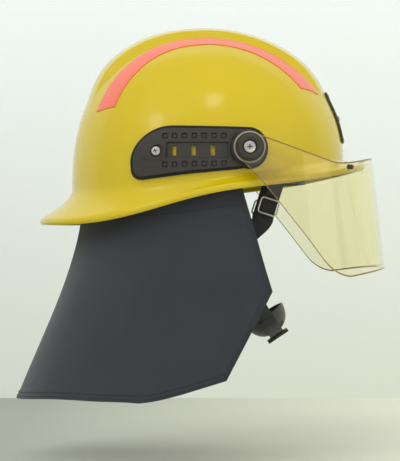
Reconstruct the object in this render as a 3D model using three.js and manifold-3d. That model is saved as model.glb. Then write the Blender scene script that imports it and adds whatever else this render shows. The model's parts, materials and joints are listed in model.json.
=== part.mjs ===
// Structural firefighter helmet with a hinged face shield, a neck curtain and a chin strap.
// Millimetres, +X to the wearer's front, +Z up, -Y to the wearer's right.
// The origin is the centre of the headband's plane, where the wearer's head carries the helmet.
import * as THREE from "three";
import { mergeVertices } from "three/addons/utils/BufferGeometryUtils.js";
import Module from "manifold-3d";

const wasm = await Module();
wasm.setup();

// ---------------------------------------------------------------- driving dimensions
const CLEAR = 0.3; // gap between pieces that touch
const FACET_CLEAR = 0.8; // gap between curved walls that are made of flat facets

const SHELL = {
  wall: 2.6,
  crown: 128, // height of the dome, without its ridge
  front: 131, // half-lengths and half-width of the dome's foot
  back: 126,
  half: 111,
  rimFront: 151.6, // the same for the brim's edge
  rimBack: 156,
  rimHalf: 117,
  lip: 4.6, // height of the turned-down edge
  ridge: 5.6, // how far the central ridge stands up
  ridgeHalf: 34, // half-width of the ridge's flat top
  ridgeSide: 6, // width of the ridge's sloping side
  ridgeLow: 58, // the ridge fades out between these heights
  ridgeFull: 100,
  ridgeReach: 113, // half-length of the ridge, seen from above
  ridgeRows: 18,
  columns: 48,
  domeRows: 10,
  flareRows: 3,
};
const STRIP = { gap: 0.5, thick: 0.6, inner: 42.5, outer: 55.2, back: -99, front: 104, slant: 17,
  backSpread: [0.0011, 0.0022], frontSpread: [-0.0002, 0.0005], columns: 22, rows: 2 };
const BADGE = { thick: 2, width: 44, low: 25, high: 71, rivet: 3, columns: 6, rows: 4 };

const PLATE = { gap: 0.45, pad: 1.2, padMargin: 2.6, thick: 3.4, recess: 1.1, screwX: -42.7, screwZ: 12.4 };
const TEETH = { count: 7, pitch: 8.63, size: 5, x: -35.6, top: 25.9, bottom: 0.6 };
const SLOT = { pitch: 17.15, x: -27.7, z: 13.2, width: 4, height: 9.5 };

const PIVOT = { x: 38.6, z: 15.5, hole: 4, boss: 13.5, ring: 14, ringThick: 2.4, knob: 11, knobThick: 5.4,
  flange: 12.7, flangeThick: 1 };
const SCREW = { head: 5.6, headThick: 2.4, shank: 2.5, nut: 4.6, nutThick: 2.6, cross: 1.2 };
const SMALL_SCREW = { head: 4.3, headThick: 1.8, shank: 1.9, nut: 3.8, nutThick: 2.2, cross: 0.9 };

const VISOR = {
  thick: 2.2,
  half: 118.4, // half-width inside
  reach: 115.6, // from the pivot to the inside of the front, at the pivot's height
  lean: 0.115, // how far the front leans out for each millimetre down
  roundness: 2.35,
  ear: 14.2,
  arm: 16, // how far ahead of the pivot the arms stay straight
  columns: 32,
};

const LINER = { thick: 15, low: 25, columns: 32, rows: 6 };
const BAND = { front: 94, back: 98, half: 79, thick: 1.6, low: -14, high: 18, columns: 40 };
const BROW_PAD = { thick: 4, low: -12, high: 16, reach: 68 * (Math.PI / 180) };
const CROWN_STRAP = { width: 20, thick: 1.2, top: 98, low: 2, columns: 20 };
const HANGER = { front: 30, rear: 130, width: 14, wall: 2.5, low: -8, foot: 6, high: 17, turnIn: 1.5,
  bandTurnIn: 0.9 };

const NAPE = { thick: 1.6, low: -42, high: -5, reach: 36 * (Math.PI / 180) };
const RATCHET = { z: -25, depth: 7, width: 44, height: 26, slotDepth: 3.8, shaft: 2.5, knob: 12,
  knobThick: 6.4 };
const RACK = { pinion: 5, thick: 2, height: 4, length: 45 };

const CURTAIN = { thick: 2.5, tape: 1.5, above: 9, below: 5, reach: 107 * (Math.PI / 180), nape: 12,
  columns: 28, rows: 7 };
const WEBBING = { width: 14, thick: 1.6, tilt: 18 * (Math.PI / 180), plane: 82.5 };
const LOOP = { x: 57, z: -36, width: 20, height: 17, wire: 1.2, corner: 2.6, sides: 6 };
const CUP = { x: 54, z: -135, long: 21, half: 32, deep: 23, wall: 2, pad: 2.4, tilt: -34 * (Math.PI / 180) };

const TAU = 2 * Math.PI;
const DEGREE = Math.PI / 180;
const THROUGH = 150; // far enough along Y to pass through the whole helmet

const STOP = { turn: -47 * DEGREE, z: -0.8, head: 2.5, headThick: 1.3, shank: 1.2 };
const ANCHOR = { z: 4, base: 4.5, baseThick: 2, pin: 2.2, head: 3.8, headThick: 1.4 };

// ---------------------------------------------------------------- solids
// A closed BufferGeometry from triangles, turned so that its faces point out.
function closed(positions) {
  const loose = new THREE.BufferGeometry();
  loose.setAttribute("position", new THREE.Float32BufferAttribute(positions, 3));
  const merged = mergeVertices(loose, 1e-3);
  const place = merged.getAttribute("position");
  const corner = (i) => new THREE.Vector3().fromBufferAttribute(place, i);
  const kept = [];
  let volume = 0;
  const index = merged.index.array;
  for (let i = 0; i < index.length; i += 3) {
    const [a, b, c] = [index[i], index[i + 1], index[i + 2]];
    if (a === b || b === c || a === c) continue;
    kept.push(a, b, c);
    volume += corner(a).dot(corner(b).cross(corner(c)));
  }
  if (volume < 0) kept.reverse();
  merged.setIndex(kept);
  return merged;
}

function onlyPositions(geometry) {
  const bare = geometry.index ? geometry.toNonIndexed() : geometry;
  return closed(Array.from(bare.getAttribute("position").array));
}

function toManifold(geometry) {
  return new wasm.Manifold(
    new wasm.Mesh({
      numProp: 3,
      vertProperties: new Float32Array(geometry.getAttribute("position").array),
      triVerts: new Uint32Array(geometry.index.array),
    }),
  );
}

function fromManifold(solid) {
  const mesh = solid.getMesh();
  const geometry = new THREE.BufferGeometry();
  geometry.setAttribute("position", new THREE.Float32BufferAttribute(mesh.vertProperties, 3));
  geometry.setIndex(Array.from(mesh.triVerts));
  return geometry;
}

function cut(body, ...tools) {
  let solid = toManifold(body);
  for (const tool of tools) solid = solid.subtract(toManifold(tool));
  return fromManifold(solid);
}

function common(a, b) {
  return fromManifold(toManifold(a).intersect(toManifold(b)));
}

function join(...pieces) {
  return fromManifold(pieces.map(toManifold).reduce((a, b) => a.add(b)));
}

// The solid between two matching grids of points. around closes the grid's first direction.
function between(outer, inner, around = false) {
  const positions = [];
  const face = (...corners) => corners.forEach((p) => positions.push(p.x, p.y, p.z));
  const quad = (a, b, c, d) => {
    face(a, b, c);
    face(a, c, d);
  };
  const columns = outer.length;
  const last = outer[0].length - 1;
  const steps = around ? columns : columns - 1;
  for (let i = 0; i < steps; i++) {
    const k = (i + 1) % columns;
    for (let j = 0; j < last; j++) {
      quad(outer[i][j], outer[k][j], outer[k][j + 1], outer[i][j + 1]);
      quad(inner[i][j], inner[i][j + 1], inner[k][j + 1], inner[k][j]);
    }
    quad(outer[i][last], outer[k][last], inner[k][last], inner[i][last]);
    quad(outer[k][0], outer[i][0], inner[i][0], inner[k][0]);
  }
  if (!around)
    for (let j = 0; j < last; j++) {
      quad(outer[0][j], outer[0][j + 1], inner[0][j + 1], inner[0][j]);
      const e = columns - 1;
      quad(outer[e][j + 1], outer[e][j], inner[e][j], inner[e][j + 1]);
    }
  return closed(positions);
}

// A grid of points: at(u, v) for u and v from 0 to 1.
function grid(columns, rows, at, around = false) {
  const table = [];
  for (let i = 0; i < columns + (around ? 0 : 1); i++) {
    const line = [];
    for (let j = 0; j <= rows; j++) line.push(at(i / columns, j / rows));
    table.push(line);
  }
  return table;
}

// A flat outline in X and Z, made solid from y = low to y = high.
function prism(shape, low, high, curveSegments = 8) {
  const flat = new THREE.ExtrudeGeometry(shape, { depth: high - low, bevelEnabled: false, curveSegments });
  const place = flat.getAttribute("position");
  for (let i = 0; i < place.count; i++)
    place.setXYZ(i, place.getX(i), place.getZ(i) + low, place.getY(i));
  return onlyPositions(flat);
}

// A turned piece: its profile is [radius, height] pairs, closed on itself or on the axis.
function turned(profile, sides = 24) {
  const points = profile.map(([radius, height]) => new THREE.Vector2(radius, height));
  return onlyPositions(new THREE.LatheGeometry(points, sides));
}

// Turns a lathe's own axis, +Y, to point in the given direction, and moves its foot there.
function aim(geometry, foot, direction) {
  const turn = new THREE.Quaternion().setFromUnitVectors(
    new THREE.Vector3(0, 1, 0),
    direction.clone().normalize(),
  );
  return geometry.clone().applyQuaternion(turn).translate(foot.x, foot.y, foot.z);
}

function mirrored(geometry) {
  const place = geometry.getAttribute("position").clone();
  for (let i = 0; i < place.count; i++) place.setY(i, -place.getY(i));
  const copy = new THREE.BufferGeometry();
  copy.setAttribute("position", place);
  copy.setIndex(Array.from(geometry.index.array).reverse());
  return copy;
}

const point = (x, y, z) => new THREE.Vector3(x, y, z);
const smooth = (low, high, value) => THREE.MathUtils.smoothstep(value, low, high);

// ---------------------------------------------------------------- the shell's surface
// The brim's edge and the foot of the dome rise to the front, as waves of the angle around Z.
const rimHeight = (phi) => -27.5 + 26 * Math.cos(phi) + 2.5 * Math.cos(4 * phi);
const rootHeight = (phi) => -8.3 + 14.3 * Math.cos(phi) + 3.2 * Math.cos(2 * phi);
const fullness = (phi) => 2.15 + (Math.cos(phi) > 0 ? -0.1 : 0.25) * Math.cos(phi) ** 2;

function oval(phi, front, back, half) {
  const length = Math.cos(phi) > 0 ? front : back;
  return 1 / Math.hypot(Math.cos(phi) / length, Math.sin(phi) / half);
}

const footRadius = (phi) => oval(phi, SHELL.front, SHELL.back, SHELL.half);
const rimRadius = (phi) => oval(phi, SHELL.rimFront, SHELL.rimBack, SHELL.rimHalf);

// The dome's radius at a height, and its height at a radius.
function domeRadius(phi, z) {
  const foot = rootHeight(phi);
  const rise = Math.max(0, (z - foot) / (SHELL.crown - foot));
  return footRadius(phi) * (1 - rise ** fullness(phi)) ** (1 / fullness(phi));
}

function domeHeight(x, y) {
  const phi = Math.atan2(y, x);
  const share = Math.min(1, Math.hypot(x, y) / footRadius(phi));
  const foot = rootHeight(phi);
  return foot + (SHELL.crown - foot) * (1 - share ** fullness(phi)) ** (1 / fullness(phi));
}

// The dome's half-width at a place on its side.
function sideWidth(x, z) {
  let low = 0;
  let high = Math.PI;
  for (let i = 0; i < 40; i++) {
    const phi = (low + high) / 2;
    if (domeRadius(phi, z) * Math.cos(phi) > x) low = phi;
    else high = phi;
  }
  return domeRadius(low, z) * Math.sin(low);
}

function ridgeLift(y, z) {
  const across = 1 - smooth(SHELL.ridgeHalf, SHELL.ridgeHalf + SHELL.ridgeSide, Math.abs(y));
  return SHELL.ridge * across * smooth(SHELL.ridgeLow, SHELL.ridgeFull, z);
}

// The shell's section at one angle, from the crown to the edge: radius as x, height as y.
function shellProfile(phi) {
  const foot = rootHeight(phi);
  const edge = rimHeight(phi);
  const power = 2 / fullness(phi);
  const line = [];
  for (let i = 0; i <= SHELL.domeRows; i++) {
    const turn = (1 - i / SHELL.domeRows) * 90 * DEGREE;
    const radius = footRadius(phi) * Math.max(0, Math.cos(turn)) ** power;
    line.push(new THREE.Vector2(i ? radius : 0, foot + (SHELL.crown - foot) * Math.sin(turn) ** power));
  }
  const start = line[line.length - 1];
  const tip = new THREE.Vector2(rimRadius(phi), edge + SHELL.lip);
  const bend = new THREE.Vector2(start.x + 0.06 * (tip.x - start.x), tip.y + 0.55 * (start.y - tip.y));
  const flare = new THREE.QuadraticBezierCurve(start, bend, tip);
  for (let i = 1; i <= SHELL.flareRows; i++) line.push(flare.getPoint(i / SHELL.flareRows));
  line.push(new THREE.Vector2(tip.x + 0.4, edge));
  return line;
}

// Moves a section's points outwards, square to its line.
function offset(line, distance) {
  return line.map((here, i) => {
    if (i === 0) return new THREE.Vector2(0, here.y + distance);
    const along = line[Math.min(i + 1, line.length - 1)].clone().sub(line[i - 1]).normalize();
    return new THREE.Vector2(here.x - along.y * distance, here.y + along.x * distance);
  });
}

function shellGrid(distance) {
  const table = [];
  for (let i = 0; i < SHELL.columns; i++) {
    const phi = (i / SHELL.columns) * TAU;
    const section = offset(shellProfile(phi), distance);
    table.push(section.map((p) => point(p.x * Math.cos(phi), p.x * Math.sin(phi), p.y)));
  }
  return table;
}

// A point at a distance above the dome, by angle and height.
function onDome(phi, z, distance) {
  const slope = domeRadius(phi, z + 0.5) - domeRadius(phi, z - 0.5);
  const steep = Math.hypot(1, slope);
  const here = domeRadius(phi, z);
  const lift = distance + ridgeLift(here * Math.sin(phi), z);
  const radius = here + lift / steep;
  return point(radius * Math.cos(phi), radius * Math.sin(phi), z - (lift * slope) / steep);
}

// A point at a distance above the dome, by its place seen from above.
function aboveDome(x, y, distance) {
  const slopeX = domeHeight(x + 0.5, y) - domeHeight(x - 0.5, y);
  const slopeY = domeHeight(x, y + 0.5) - domeHeight(x, y - 0.5);
  const out = point(-slopeX, -slopeY, 1).normalize();
  return point(x, y, domeHeight(x, y)).addScaledVector(out, distance);
}

// The direction out of the shell's right side.
function sideNormal(x, z) {
  const slopeX = sideWidth(x + 0.5, z) - sideWidth(x - 0.5, z);
  const slopeZ = sideWidth(x, z + 0.5) - sideWidth(x, z - 0.5);
  return point(-slopeX, -1, -slopeZ).normalize();
}

const onSide = (x, z, distance) =>
  point(x, -sideWidth(x, z), z).addScaledVector(sideNormal(x, z), distance);

// A curved slab that follows the right side of the shell, between two distances from it.
function sideSlab(low, high, columns = 11, rows = 3) {
  const sheet = (d) => grid(columns, rows, (u, v) => {
    const x = -72 + 132 * u;
    const z = -16 + 54 * v;
    return point(x, -sideWidth(x, z) - d, z);
  });
  return between(sheet(high), sheet(low));
}

// The raised band along the dome. inset shrinks it all round, to hollow it from below.
function ridgeSolid(inset, foot) {
  const half = SHELL.ridgeHalf - inset * 0.7;
  const edge = half + SHELL.ridgeSide;
  const ys = [-edge, -half, -half / 2, 0, half / 2, half, edge];
  const at = (lift) => grid(SHELL.ridgeRows, ys.length - 1, (u, v) => {
    const y = ys[Math.round(v * (ys.length - 1))];
    const x = -SHELL.ridgeReach * Math.cos(u * Math.PI);
    const fade = smooth(SHELL.ridgeLow, SHELL.ridgeFull, domeHeight(x, y));
    const across = Math.abs(y) > half + 0.1 ? 0 : 1;
    return aboveDome(x, y, lift ? foot + (SHELL.ridge - inset - foot) * across * fade : foot - 1.2);
  });
  return between(at(true), at(false));
}

// ---------------------------------------------------------------- side plates and pivots
function plateOutline(margin) {
  const shape = new THREE.Shape();
  shape.moveTo(-55, -9.9 - margin);
  shape.lineTo(-18, -4.8 - margin);
  shape.absarc(PIVOT.x, PIVOT.z, 16 + margin, -112 * DEGREE, 90 * DEGREE, false);
  shape.lineTo(-30, 33 + margin);
  shape.bezierCurveTo(-47, 33 + margin, -63.5 - margin, 22, -64.4 - margin, 4);
  shape.lineTo(-64 - margin, -3);
  shape.quadraticCurveTo(-63 - margin, -10.8 - margin, -55, -9.9 - margin);
  return shape;
}

function block(x, z, width, height) {
  const shape = new THREE.Shape();
  shape.moveTo(x - width / 2, z - height / 2);
  shape.lineTo(x + width / 2, z - height / 2);
  shape.lineTo(x + width / 2, z + height / 2);
  shape.lineTo(x - width / 2, z + height / 2);
  return prism(shape, -THROUGH, -80);
}

function rod(radius, foot, direction, low, high, sides = 20) {
  const profile = [[0, low], [radius, low], [radius, high], [0, high]];
  return aim(turned(profile, sides), foot, direction);
}

const OUT = point(0, -1, 0);
const pivotFoot = point(PIVOT.x, 0, PIVOT.z);
const screwFoot = onSide(PLATE.screwX, PLATE.screwZ, 0);
const screwOut = sideNormal(PLATE.screwX, PLATE.screwZ);
const padTop = PLATE.gap + PLATE.pad;
const plateLow = padTop + CLEAR;
const plateHigh = plateLow + PLATE.thick;
const bossFace = VISOR.half - CLEAR;
const pivotHole = rod(SCREW.shank + CLEAR, pivotFoot, OUT, 80, 140, 16);
const plateHole = rod(SMALL_SCREW.shank + CLEAR, screwFoot, screwOut, -12, 12, 16);

const slots = [0, 1, 2].map((i) => block(SLOT.x + i * SLOT.pitch, SLOT.z, SLOT.width, SLOT.height));

function padSolid() {
  const slab = sideSlab(PLATE.gap, padTop);
  const pad = common(slab, prism(plateOutline(PLATE.padMargin), -THROUGH, -60));
  return cut(pad, ...slots, pivotHole, plateHole);
}

function plateSolid() {
  const slab = sideSlab(plateLow, plateHigh);
  const plate = common(slab, prism(plateOutline(0), -THROUGH, -60));
  const boss = cut(rod(PIVOT.boss, pivotFoot, OUT, 100, bossFace, 24), sideSlab(-30, plateLow + 0.02));
  const above = sideSlab(plateHigh - PLATE.recess, plateHigh + 8);
  const tools = [block(-6.5, SLOT.z, 55, 15)];
  for (let i = 0; i < TEETH.count; i++)
    for (const z of [TEETH.top, TEETH.bottom])
      tools.push(block(TEETH.x + i * TEETH.pitch, z, TEETH.size, TEETH.size));
  const recesses = tools.map((tool) => common(tool, above));
  const seat = rod(SMALL_SCREW.head + 1.6, screwFoot, screwOut, plateHigh - SMALL_SCREW.headThick, 14);
  return cut(join(cut(plate, ...recesses), boss), ...slots, seat, pivotHole, plateHole);
}

// A pan-head screw with a cross recess, its head's foot at zero on its own axis.
function screwSolid(size, length) {
  const body = turned(
    [[0, -length], [size.shank, -length], [size.shank, 0], [size.head, 0],
      [size.head, size.headThick * 0.45], [size.head * 0.7, size.headThick], [0, size.headThick]],
    20,
  );
  const bar = new THREE.BoxGeometry(size.head * 1.15, size.headThick, size.cross);
  bar.translate(0, size.headThick, 0);
  const other = bar.clone().rotateY(90 * DEGREE);
  return cut(body, onlyPositions(bar), onlyPositions(other));
}

function nutSolid(size) {
  const body = turned([[0, 0], [size.nut, 0], [size.nut, size.nutThick], [0, size.nutThick]], 6);
  return cut(body, rod(size.shank + CLEAR, point(0, 0, 0), point(0, 1, 0), -1, size.nutThick + 1, 14));
}

const ringLow = VISOR.half + VISOR.thick + CLEAR;
const knobLow = ringLow + PIVOT.ringThick + CLEAR;
const knobHigh = knobLow + PIVOT.knobThick;
const headFoot = knobHigh - SCREW.headThick;
const nutTop = sideWidth(PIVOT.x + SCREW.nut, PIVOT.z + SCREW.nut) - SHELL.wall * 1.06 - FACET_CLEAR;

function washer(inner, outer, low, high, sides = 24) {
  const profile = [[inner, low], [outer, low], [outer, high], [inner, high], [inner, low]];
  return aim(turned(profile, sides), pivotFoot, OUT);
}

function knobSolid() {
  const profile = [
    [SCREW.shank + CLEAR, knobLow], [PIVOT.flange, knobLow], [PIVOT.flange, knobLow + PIVOT.flangeThick],
    [PIVOT.knob, knobLow + PIVOT.flangeThick], [PIVOT.knob, knobHigh - 1],
    [PIVOT.knob - 1, knobHigh], [SCREW.head + 0.6, knobHigh], [SCREW.head + 0.6, headFoot - CLEAR],
    [SCREW.shank + CLEAR, headFoot - CLEAR], [SCREW.shank + CLEAR, knobLow],
  ];
  return aim(turned(profile, 24), pivotFoot, OUT);
}

// ---------------------------------------------------------------- the visor
// The visor's plan: straight arms, then a rounded front, leaning out as it goes down.
function visorPlan(turn, height, spread) {
  const power = 2 / VISOR.roundness;
  const ahead = VISOR.arm + (VISOR.reach - VISOR.arm + spread) * Math.cos(turn) ** power;
  const aside = (VISOR.half + spread) * Math.abs(Math.sin(turn)) ** power * Math.sign(turn);
  return point(PIVOT.x + ahead + VISOR.lean * (PIVOT.z - height), aside, height);
}

function visorOutline() {
  const shape = new THREE.Shape();
  shape.absarc(PIVOT.x, PIVOT.z, VISOR.ear, 52 * DEGREE, 250 * DEGREE, false);
  shape.lineTo(52.7, -17.7);
  shape.lineTo(88.8, -63.3);
  shape.lineTo(104, -83.5);
  shape.quadraticCurveTo(114.5, -97.5, 129, -98.8);
  shape.lineTo(175, -91);
  shape.lineTo(175, 14.3);
  shape.lineTo(156.4, 10.2);
  shape.quadraticCurveTo(125, 1, 113, 3.6);
  shape.lineTo(90.5, 11.3);
  return shape;
}

function visorSolid() {
  const wall = (spread) => {
    const table = [];
    for (let i = -1; i <= VISOR.columns + 1; i++) {
      const turn = (THREE.MathUtils.clamp(i / VISOR.columns, 0, 1) - 0.5) * Math.PI * 0.9999;
      const column = [50, -120].map((height) => visorPlan(turn, height, spread));
      if (i < 0 || i > VISOR.columns) column.forEach((p) => (p.x -= VISOR.arm + VISOR.ear + 24));
      table.push(column);
    }
    return table;
  };
  const sheet = common(between(wall(VISOR.thick), wall(0)), prism(visorOutline(), -THROUGH, THROUGH, 14));
  const holes = rod(PIVOT.hole + 2.3, pivotFoot, OUT, -THROUGH, THROUGH, 24);
  return cut(sheet, holes, stopHole, mirrored(stopHole));
}

const stopFoot = visorPlan(STOP.turn, STOP.z, 0);
const stopAlong = visorPlan(STOP.turn + 0.02, STOP.z, 0).sub(visorPlan(STOP.turn - 0.02, STOP.z, 0));
const stopOut = point(stopAlong.y, -stopAlong.x, 0).normalize();
const stopHole = rod(STOP.shank + CLEAR, stopFoot, stopOut, -8, 10, 12);
const stopSolid = () => {
  const [inside, outside] = [-CLEAR - 0.2, VISOR.thick + CLEAR + 0.2];
  const profile = [
    [0, inside - STOP.headThick], [STOP.head, inside - STOP.headThick], [STOP.head, inside],
    [STOP.shank, inside], [STOP.shank, outside], [STOP.head, outside],
    [STOP.head * 0.7, outside + STOP.headThick], [0, outside + STOP.headThick],
  ];
  return aim(turned(profile, 14), stopFoot, stopOut);
};

// ---------------------------------------------------------------- strips and badge plate
// A strip lies beside the ridge. Its edges spread a little to the back, and its ends slant.
function stripSolid() {
  const at = (distance) => grid(STRIP.columns, STRIP.rows, (u, v) => {
    const back = STRIP.back + v * STRIP.slant;
    const front = STRIP.front - v * STRIP.slant;
    const x = back + (front - back) * u;
    const [innerSpread, outerSpread] = x < 0 ? STRIP.backSpread : STRIP.frontSpread;
    const inner = STRIP.inner + innerSpread * x * x;
    const outer = STRIP.outer + outerSpread * x * x;
    return aboveDome(x, -(inner + (outer - inner) * v), distance);
  });
  return between(at(STRIP.gap + STRIP.thick), at(STRIP.gap));
}

function badgeSolid() {
  const at = (distance) => grid(BADGE.columns, BADGE.rows, (u, v) => {
    const z = BADGE.low + (BADGE.high - BADGE.low) * v;
    const phi = Math.asin(((u - 0.5) * BADGE.width) / domeRadius(0, z));
    return onDome(phi, z, distance);
  });
  return cut(between(at(CLEAR + BADGE.thick), at(CLEAR)), badgeHole);
}

const badgeMiddle = (BADGE.low + BADGE.high) / 2;
const badgeFoot = onDome(0, badgeMiddle, 0);
const badgeOut = onDome(0, badgeMiddle, 10).sub(badgeFoot).normalize();
const badgeHole = rod(BADGE.rivet / 2 + CLEAR, badgeFoot, badgeOut, -8, 8, 12);
const rivetSolid = () => {
  const [inside, outside] = [-SHELL.wall - FACET_CLEAR, CLEAR + BADGE.thick + CLEAR];
  const shank = BADGE.rivet / 2;
  const profile = [
    [0, inside - 0.4], [shank + 0.6, inside - 0.4], [shank + 0.6, inside], [shank, inside],
    [shank, outside], [BADGE.rivet, outside], [BADGE.rivet * 0.6, outside + 1.4], [0, outside + 1.4],
  ];
  return aim(turned(profile, 14), badgeFoot, badgeOut);
};

// ---------------------------------------------------------------- liner, headband and suspension
const around = (phi, radius, z) => point(radius * Math.cos(phi), radius * Math.sin(phi), z);

function linerSolid() {
  const section = (phi, distance) => {
    const foot = rootHeight(phi);
    const power = 2 / fullness(phi);
    const lowest = Math.asin(((LINER.low - foot) / (SHELL.crown - foot)) ** (1 / power));
    const line = [];
    for (let i = 0; i <= LINER.rows; i++) {
      const turn = 90 * DEGREE + (lowest - 90 * DEGREE) * (i / LINER.rows);
      const radius = i ? footRadius(phi) * Math.cos(turn) ** power : 0;
      line.push(new THREE.Vector2(radius, foot + (SHELL.crown - foot) * Math.sin(turn) ** power));
    }
    return offset(line, distance);
  };
  const at = (distance) => {
    const table = [];
    for (let i = 0; i < LINER.columns; i++) {
      const phi = (i / LINER.columns) * TAU;
      table.push(section(phi, distance).map((p) => around(phi, p.x, p.y)));
    }
    return table;
  };
  const outside = -SHELL.wall - FACET_CLEAR;
  return between(at(outside), at(outside - LINER.thick), true);
}

const bandRadius = (phi) => oval(phi, BAND.front, BAND.back, BAND.half);

// A curved band between two angles, or all round.
function bandSolid(inner, thick, low, high, start, end, columns) {
  const full = end - start >= TAU - 1e-6;
  const at = (extra) => grid(columns, 1, (u, v) => {
    const phi = start + (end - start) * u;
    const height = [low, high].map((value) => (typeof value === "function" ? value(phi) : value));
    return around(phi, inner(phi) + extra, height[0] + (height[1] - height[0]) * v);
  }, full);
  return between(at(thick), at(0), full);
}

const outsideBand = BAND.thick + CLEAR;

function crownStrap(half, otherHalf, top, lengthwise) {
  const at = (spread) => grid(CROWN_STRAP.columns + 2, 1, (u, v) => {
    const step = Math.round(u * (CROWN_STRAP.columns + 2)) - 1;
    const turn = THREE.MathUtils.clamp(step / CROWN_STRAP.columns, 0, 1) * Math.PI;
    const reach = (Math.cos(turn) > 0 ? half : otherHalf) + spread;
    const along = reach * Math.cos(turn);
    const hung = step < 0 || step > CROWN_STRAP.columns;
    const z = hung ? CROWN_STRAP.low : BAND.high + (top - BAND.high + spread) * Math.sin(turn);
    const across = (v - 0.5) * CROWN_STRAP.width;
    return lengthwise ? point(along, across, z) : point(across, along, z);
  });
  return between(at(CROWN_STRAP.thick), at(0));
}

// A clip with one leg on the headband and one on the shell's inner wall.
function hangerSolid(phi) {
  const band = bandRadius(phi) + BAND.thick + FACET_CLEAR + HANGER.bandTurnIn;
  const wall = domeRadius(phi, HANGER.high) - SHELL.wall - FACET_CLEAR - HANGER.turnIn;
  const shape = new THREE.Shape();
  shape.moveTo(band, HANGER.low);
  shape.lineTo(band + HANGER.wall, HANGER.low);
  shape.lineTo(band + HANGER.wall, HANGER.high - HANGER.wall);
  shape.lineTo(wall - HANGER.wall, HANGER.high - HANGER.wall);
  shape.lineTo(wall - HANGER.wall, HANGER.foot);
  shape.lineTo(wall, HANGER.foot);
  shape.lineTo(wall, HANGER.high);
  shape.lineTo(band, HANGER.high);
  const solid = prism(shape, -HANGER.width / 2, HANGER.width / 2);
  return solid.rotateZ(phi);
}

// ---------------------------------------------------------------- the ratchet at the nape
const cradleRadius = (phi) => bandRadius(phi) + BAND.thick + CLEAR + 0.2;
const ratchetFront = -(cradleRadius(Math.PI) + NAPE.thick + CLEAR);
const ratchetBack = ratchetFront - RATCHET.depth;
const slotMiddle = (ratchetFront + ratchetBack) / 2;
const brick = (x, y, z, width, depth, height) =>
  onlyPositions(new THREE.BoxGeometry(width, depth, height).translate(x, y, z));
const BACKWARD = point(-1, 0, 0);
const ratchetAxis = point(0, 0, RATCHET.z);

function ratchetHousing() {
  const body = brick(slotMiddle, 0, RATCHET.z, RATCHET.depth, RATCHET.width, RATCHET.height);
  const slotHeight = 2 * (RACK.pinion + CLEAR + RACK.height + CLEAR);
  const slot = brick(slotMiddle, 0, RATCHET.z, RATCHET.slotDepth, RATCHET.width + 2, slotHeight);
  const bore = rod(RATCHET.shaft + CLEAR, ratchetAxis, BACKWARD, -slotMiddle, -ratchetBack + 5, 16);
  return cut(body, slot, bore);
}

function ratchetKnob() {
  const low = -ratchetBack + CLEAR;
  const high = low + RATCHET.knobThick;
  const body = rod(RATCHET.knob, ratchetAxis, BACKWARD, low, high, 32);
  const shaftLow = -slotMiddle + RATCHET.slotDepth / 2 - 0.1;
  const shaft = rod(RATCHET.shaft, ratchetAxis, BACKWARD, shaftLow, low + 1, 16);
  return join(body, shaft);
}

const pinionHalf = RATCHET.slotDepth / 2 - CLEAR;
const pinionSolid = () =>
  rod(RACK.pinion, ratchetAxis, BACKWARD, -slotMiddle - pinionHalf, -slotMiddle + pinionHalf - 0.1, 24);

// One rack runs above the pinion and one below, each out of its own side of the housing.
function rackSolid(side) {
  const z = RATCHET.z + side * (RACK.pinion + CLEAR + RACK.height / 2);
  return brick(slotMiddle, side * (RACK.length / 2 - 15), z, RACK.thick, RACK.length, RACK.height);
}

// ---------------------------------------------------------------- neck curtain
const wallInside = (phi) => footRadius(phi) - SHELL.wall - FACET_CLEAR - CURTAIN.tape;
const tapeSolid = () =>
  bandSolid(wallInside, CURTAIN.tape, (phi) => rootHeight(phi) - CURTAIN.below,
    (phi) => rootHeight(phi) + CURTAIN.above, Math.PI - CURTAIN.reach, Math.PI + CURTAIN.reach, 36);

// The curtain's lower edge from the back's middle to the right front corner.
const hem = new THREE.CatmullRomCurve3([
  point(-180, 0, -218), point(-176, -30, -216), point(-152, -62, -211), point(-111, -86, -208.5),
  point(-57.8, -98, -213.8),
  point(-20, -99, -203), point(18, -100, -191), point(38, -99.5, -152), point(58.4, -98, -111.8),
], false, "centripetal");

function curtainSolid() {
  const at = (extra) => grid(CURTAIN.columns, CURTAIN.rows, (u, v) => {
    const side = u < 0.5 ? -1 : 1;
    const share = Math.abs(2 * u - 1);
    const phi = Math.PI - CURTAIN.reach * share;
    const radius = wallInside(phi) - CLEAR - 0.2 - CURTAIN.thick;
    const top = around(phi, radius, rootHeight(phi) + CURTAIN.above - 1);
    const held = around(phi, radius, rootHeight(phi) - CURTAIN.below - 4);
    const end = hem.getPoint(share);
    const foot = point(end.x, -end.y, end.z);
    const fall = Math.max(0, (v * CURTAIN.rows - 1) / (CURTAIN.rows - 1));
    const here = v === 0 ? top : held.lerp(foot, fall);
    if (v > 0) here.x += CURTAIN.nape * Math.sin(Math.PI * fall ** 0.6) * (1 - share) ** 1.5;
    const outward = point(here.x + 20, here.y, 0).normalize();
    here.addScaledVector(outward, extra);
    return point(here.x, here.y * side, here.z);
  });
  return between(at(CURTAIN.thick), at(0));
}

// ---------------------------------------------------------------- chin strap
const upStrap = point(Math.sin(WEBBING.tilt), 0, Math.cos(WEBBING.tilt));
const acrossStrap = point(Math.cos(WEBBING.tilt), 0, -Math.sin(WEBBING.tilt));
const loopMiddle = point(LOOP.x, -WEBBING.plane, LOOP.z);
const barOffset = LOOP.height / 2 - LOOP.wire;
const anchorPoint = loopMiddle.clone().addScaledVector(upStrap, (ANCHOR.z - LOOP.z) / upStrap.z);
const anchorWall = sideWidth(anchorPoint.x + ANCHOR.base, anchorPoint.z) - SHELL.wall * 1.12 - FACET_CLEAR;

// Puts a piece made with X across, Y through and Z up the strap in its place on the right side.
const onStrap = (geometry, along) =>
  geometry.rotateY(WEBBING.tilt).translate(
    loopMiddle.x + upStrap.x * along, loopMiddle.y, loopMiddle.z + upStrap.z * along);

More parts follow.
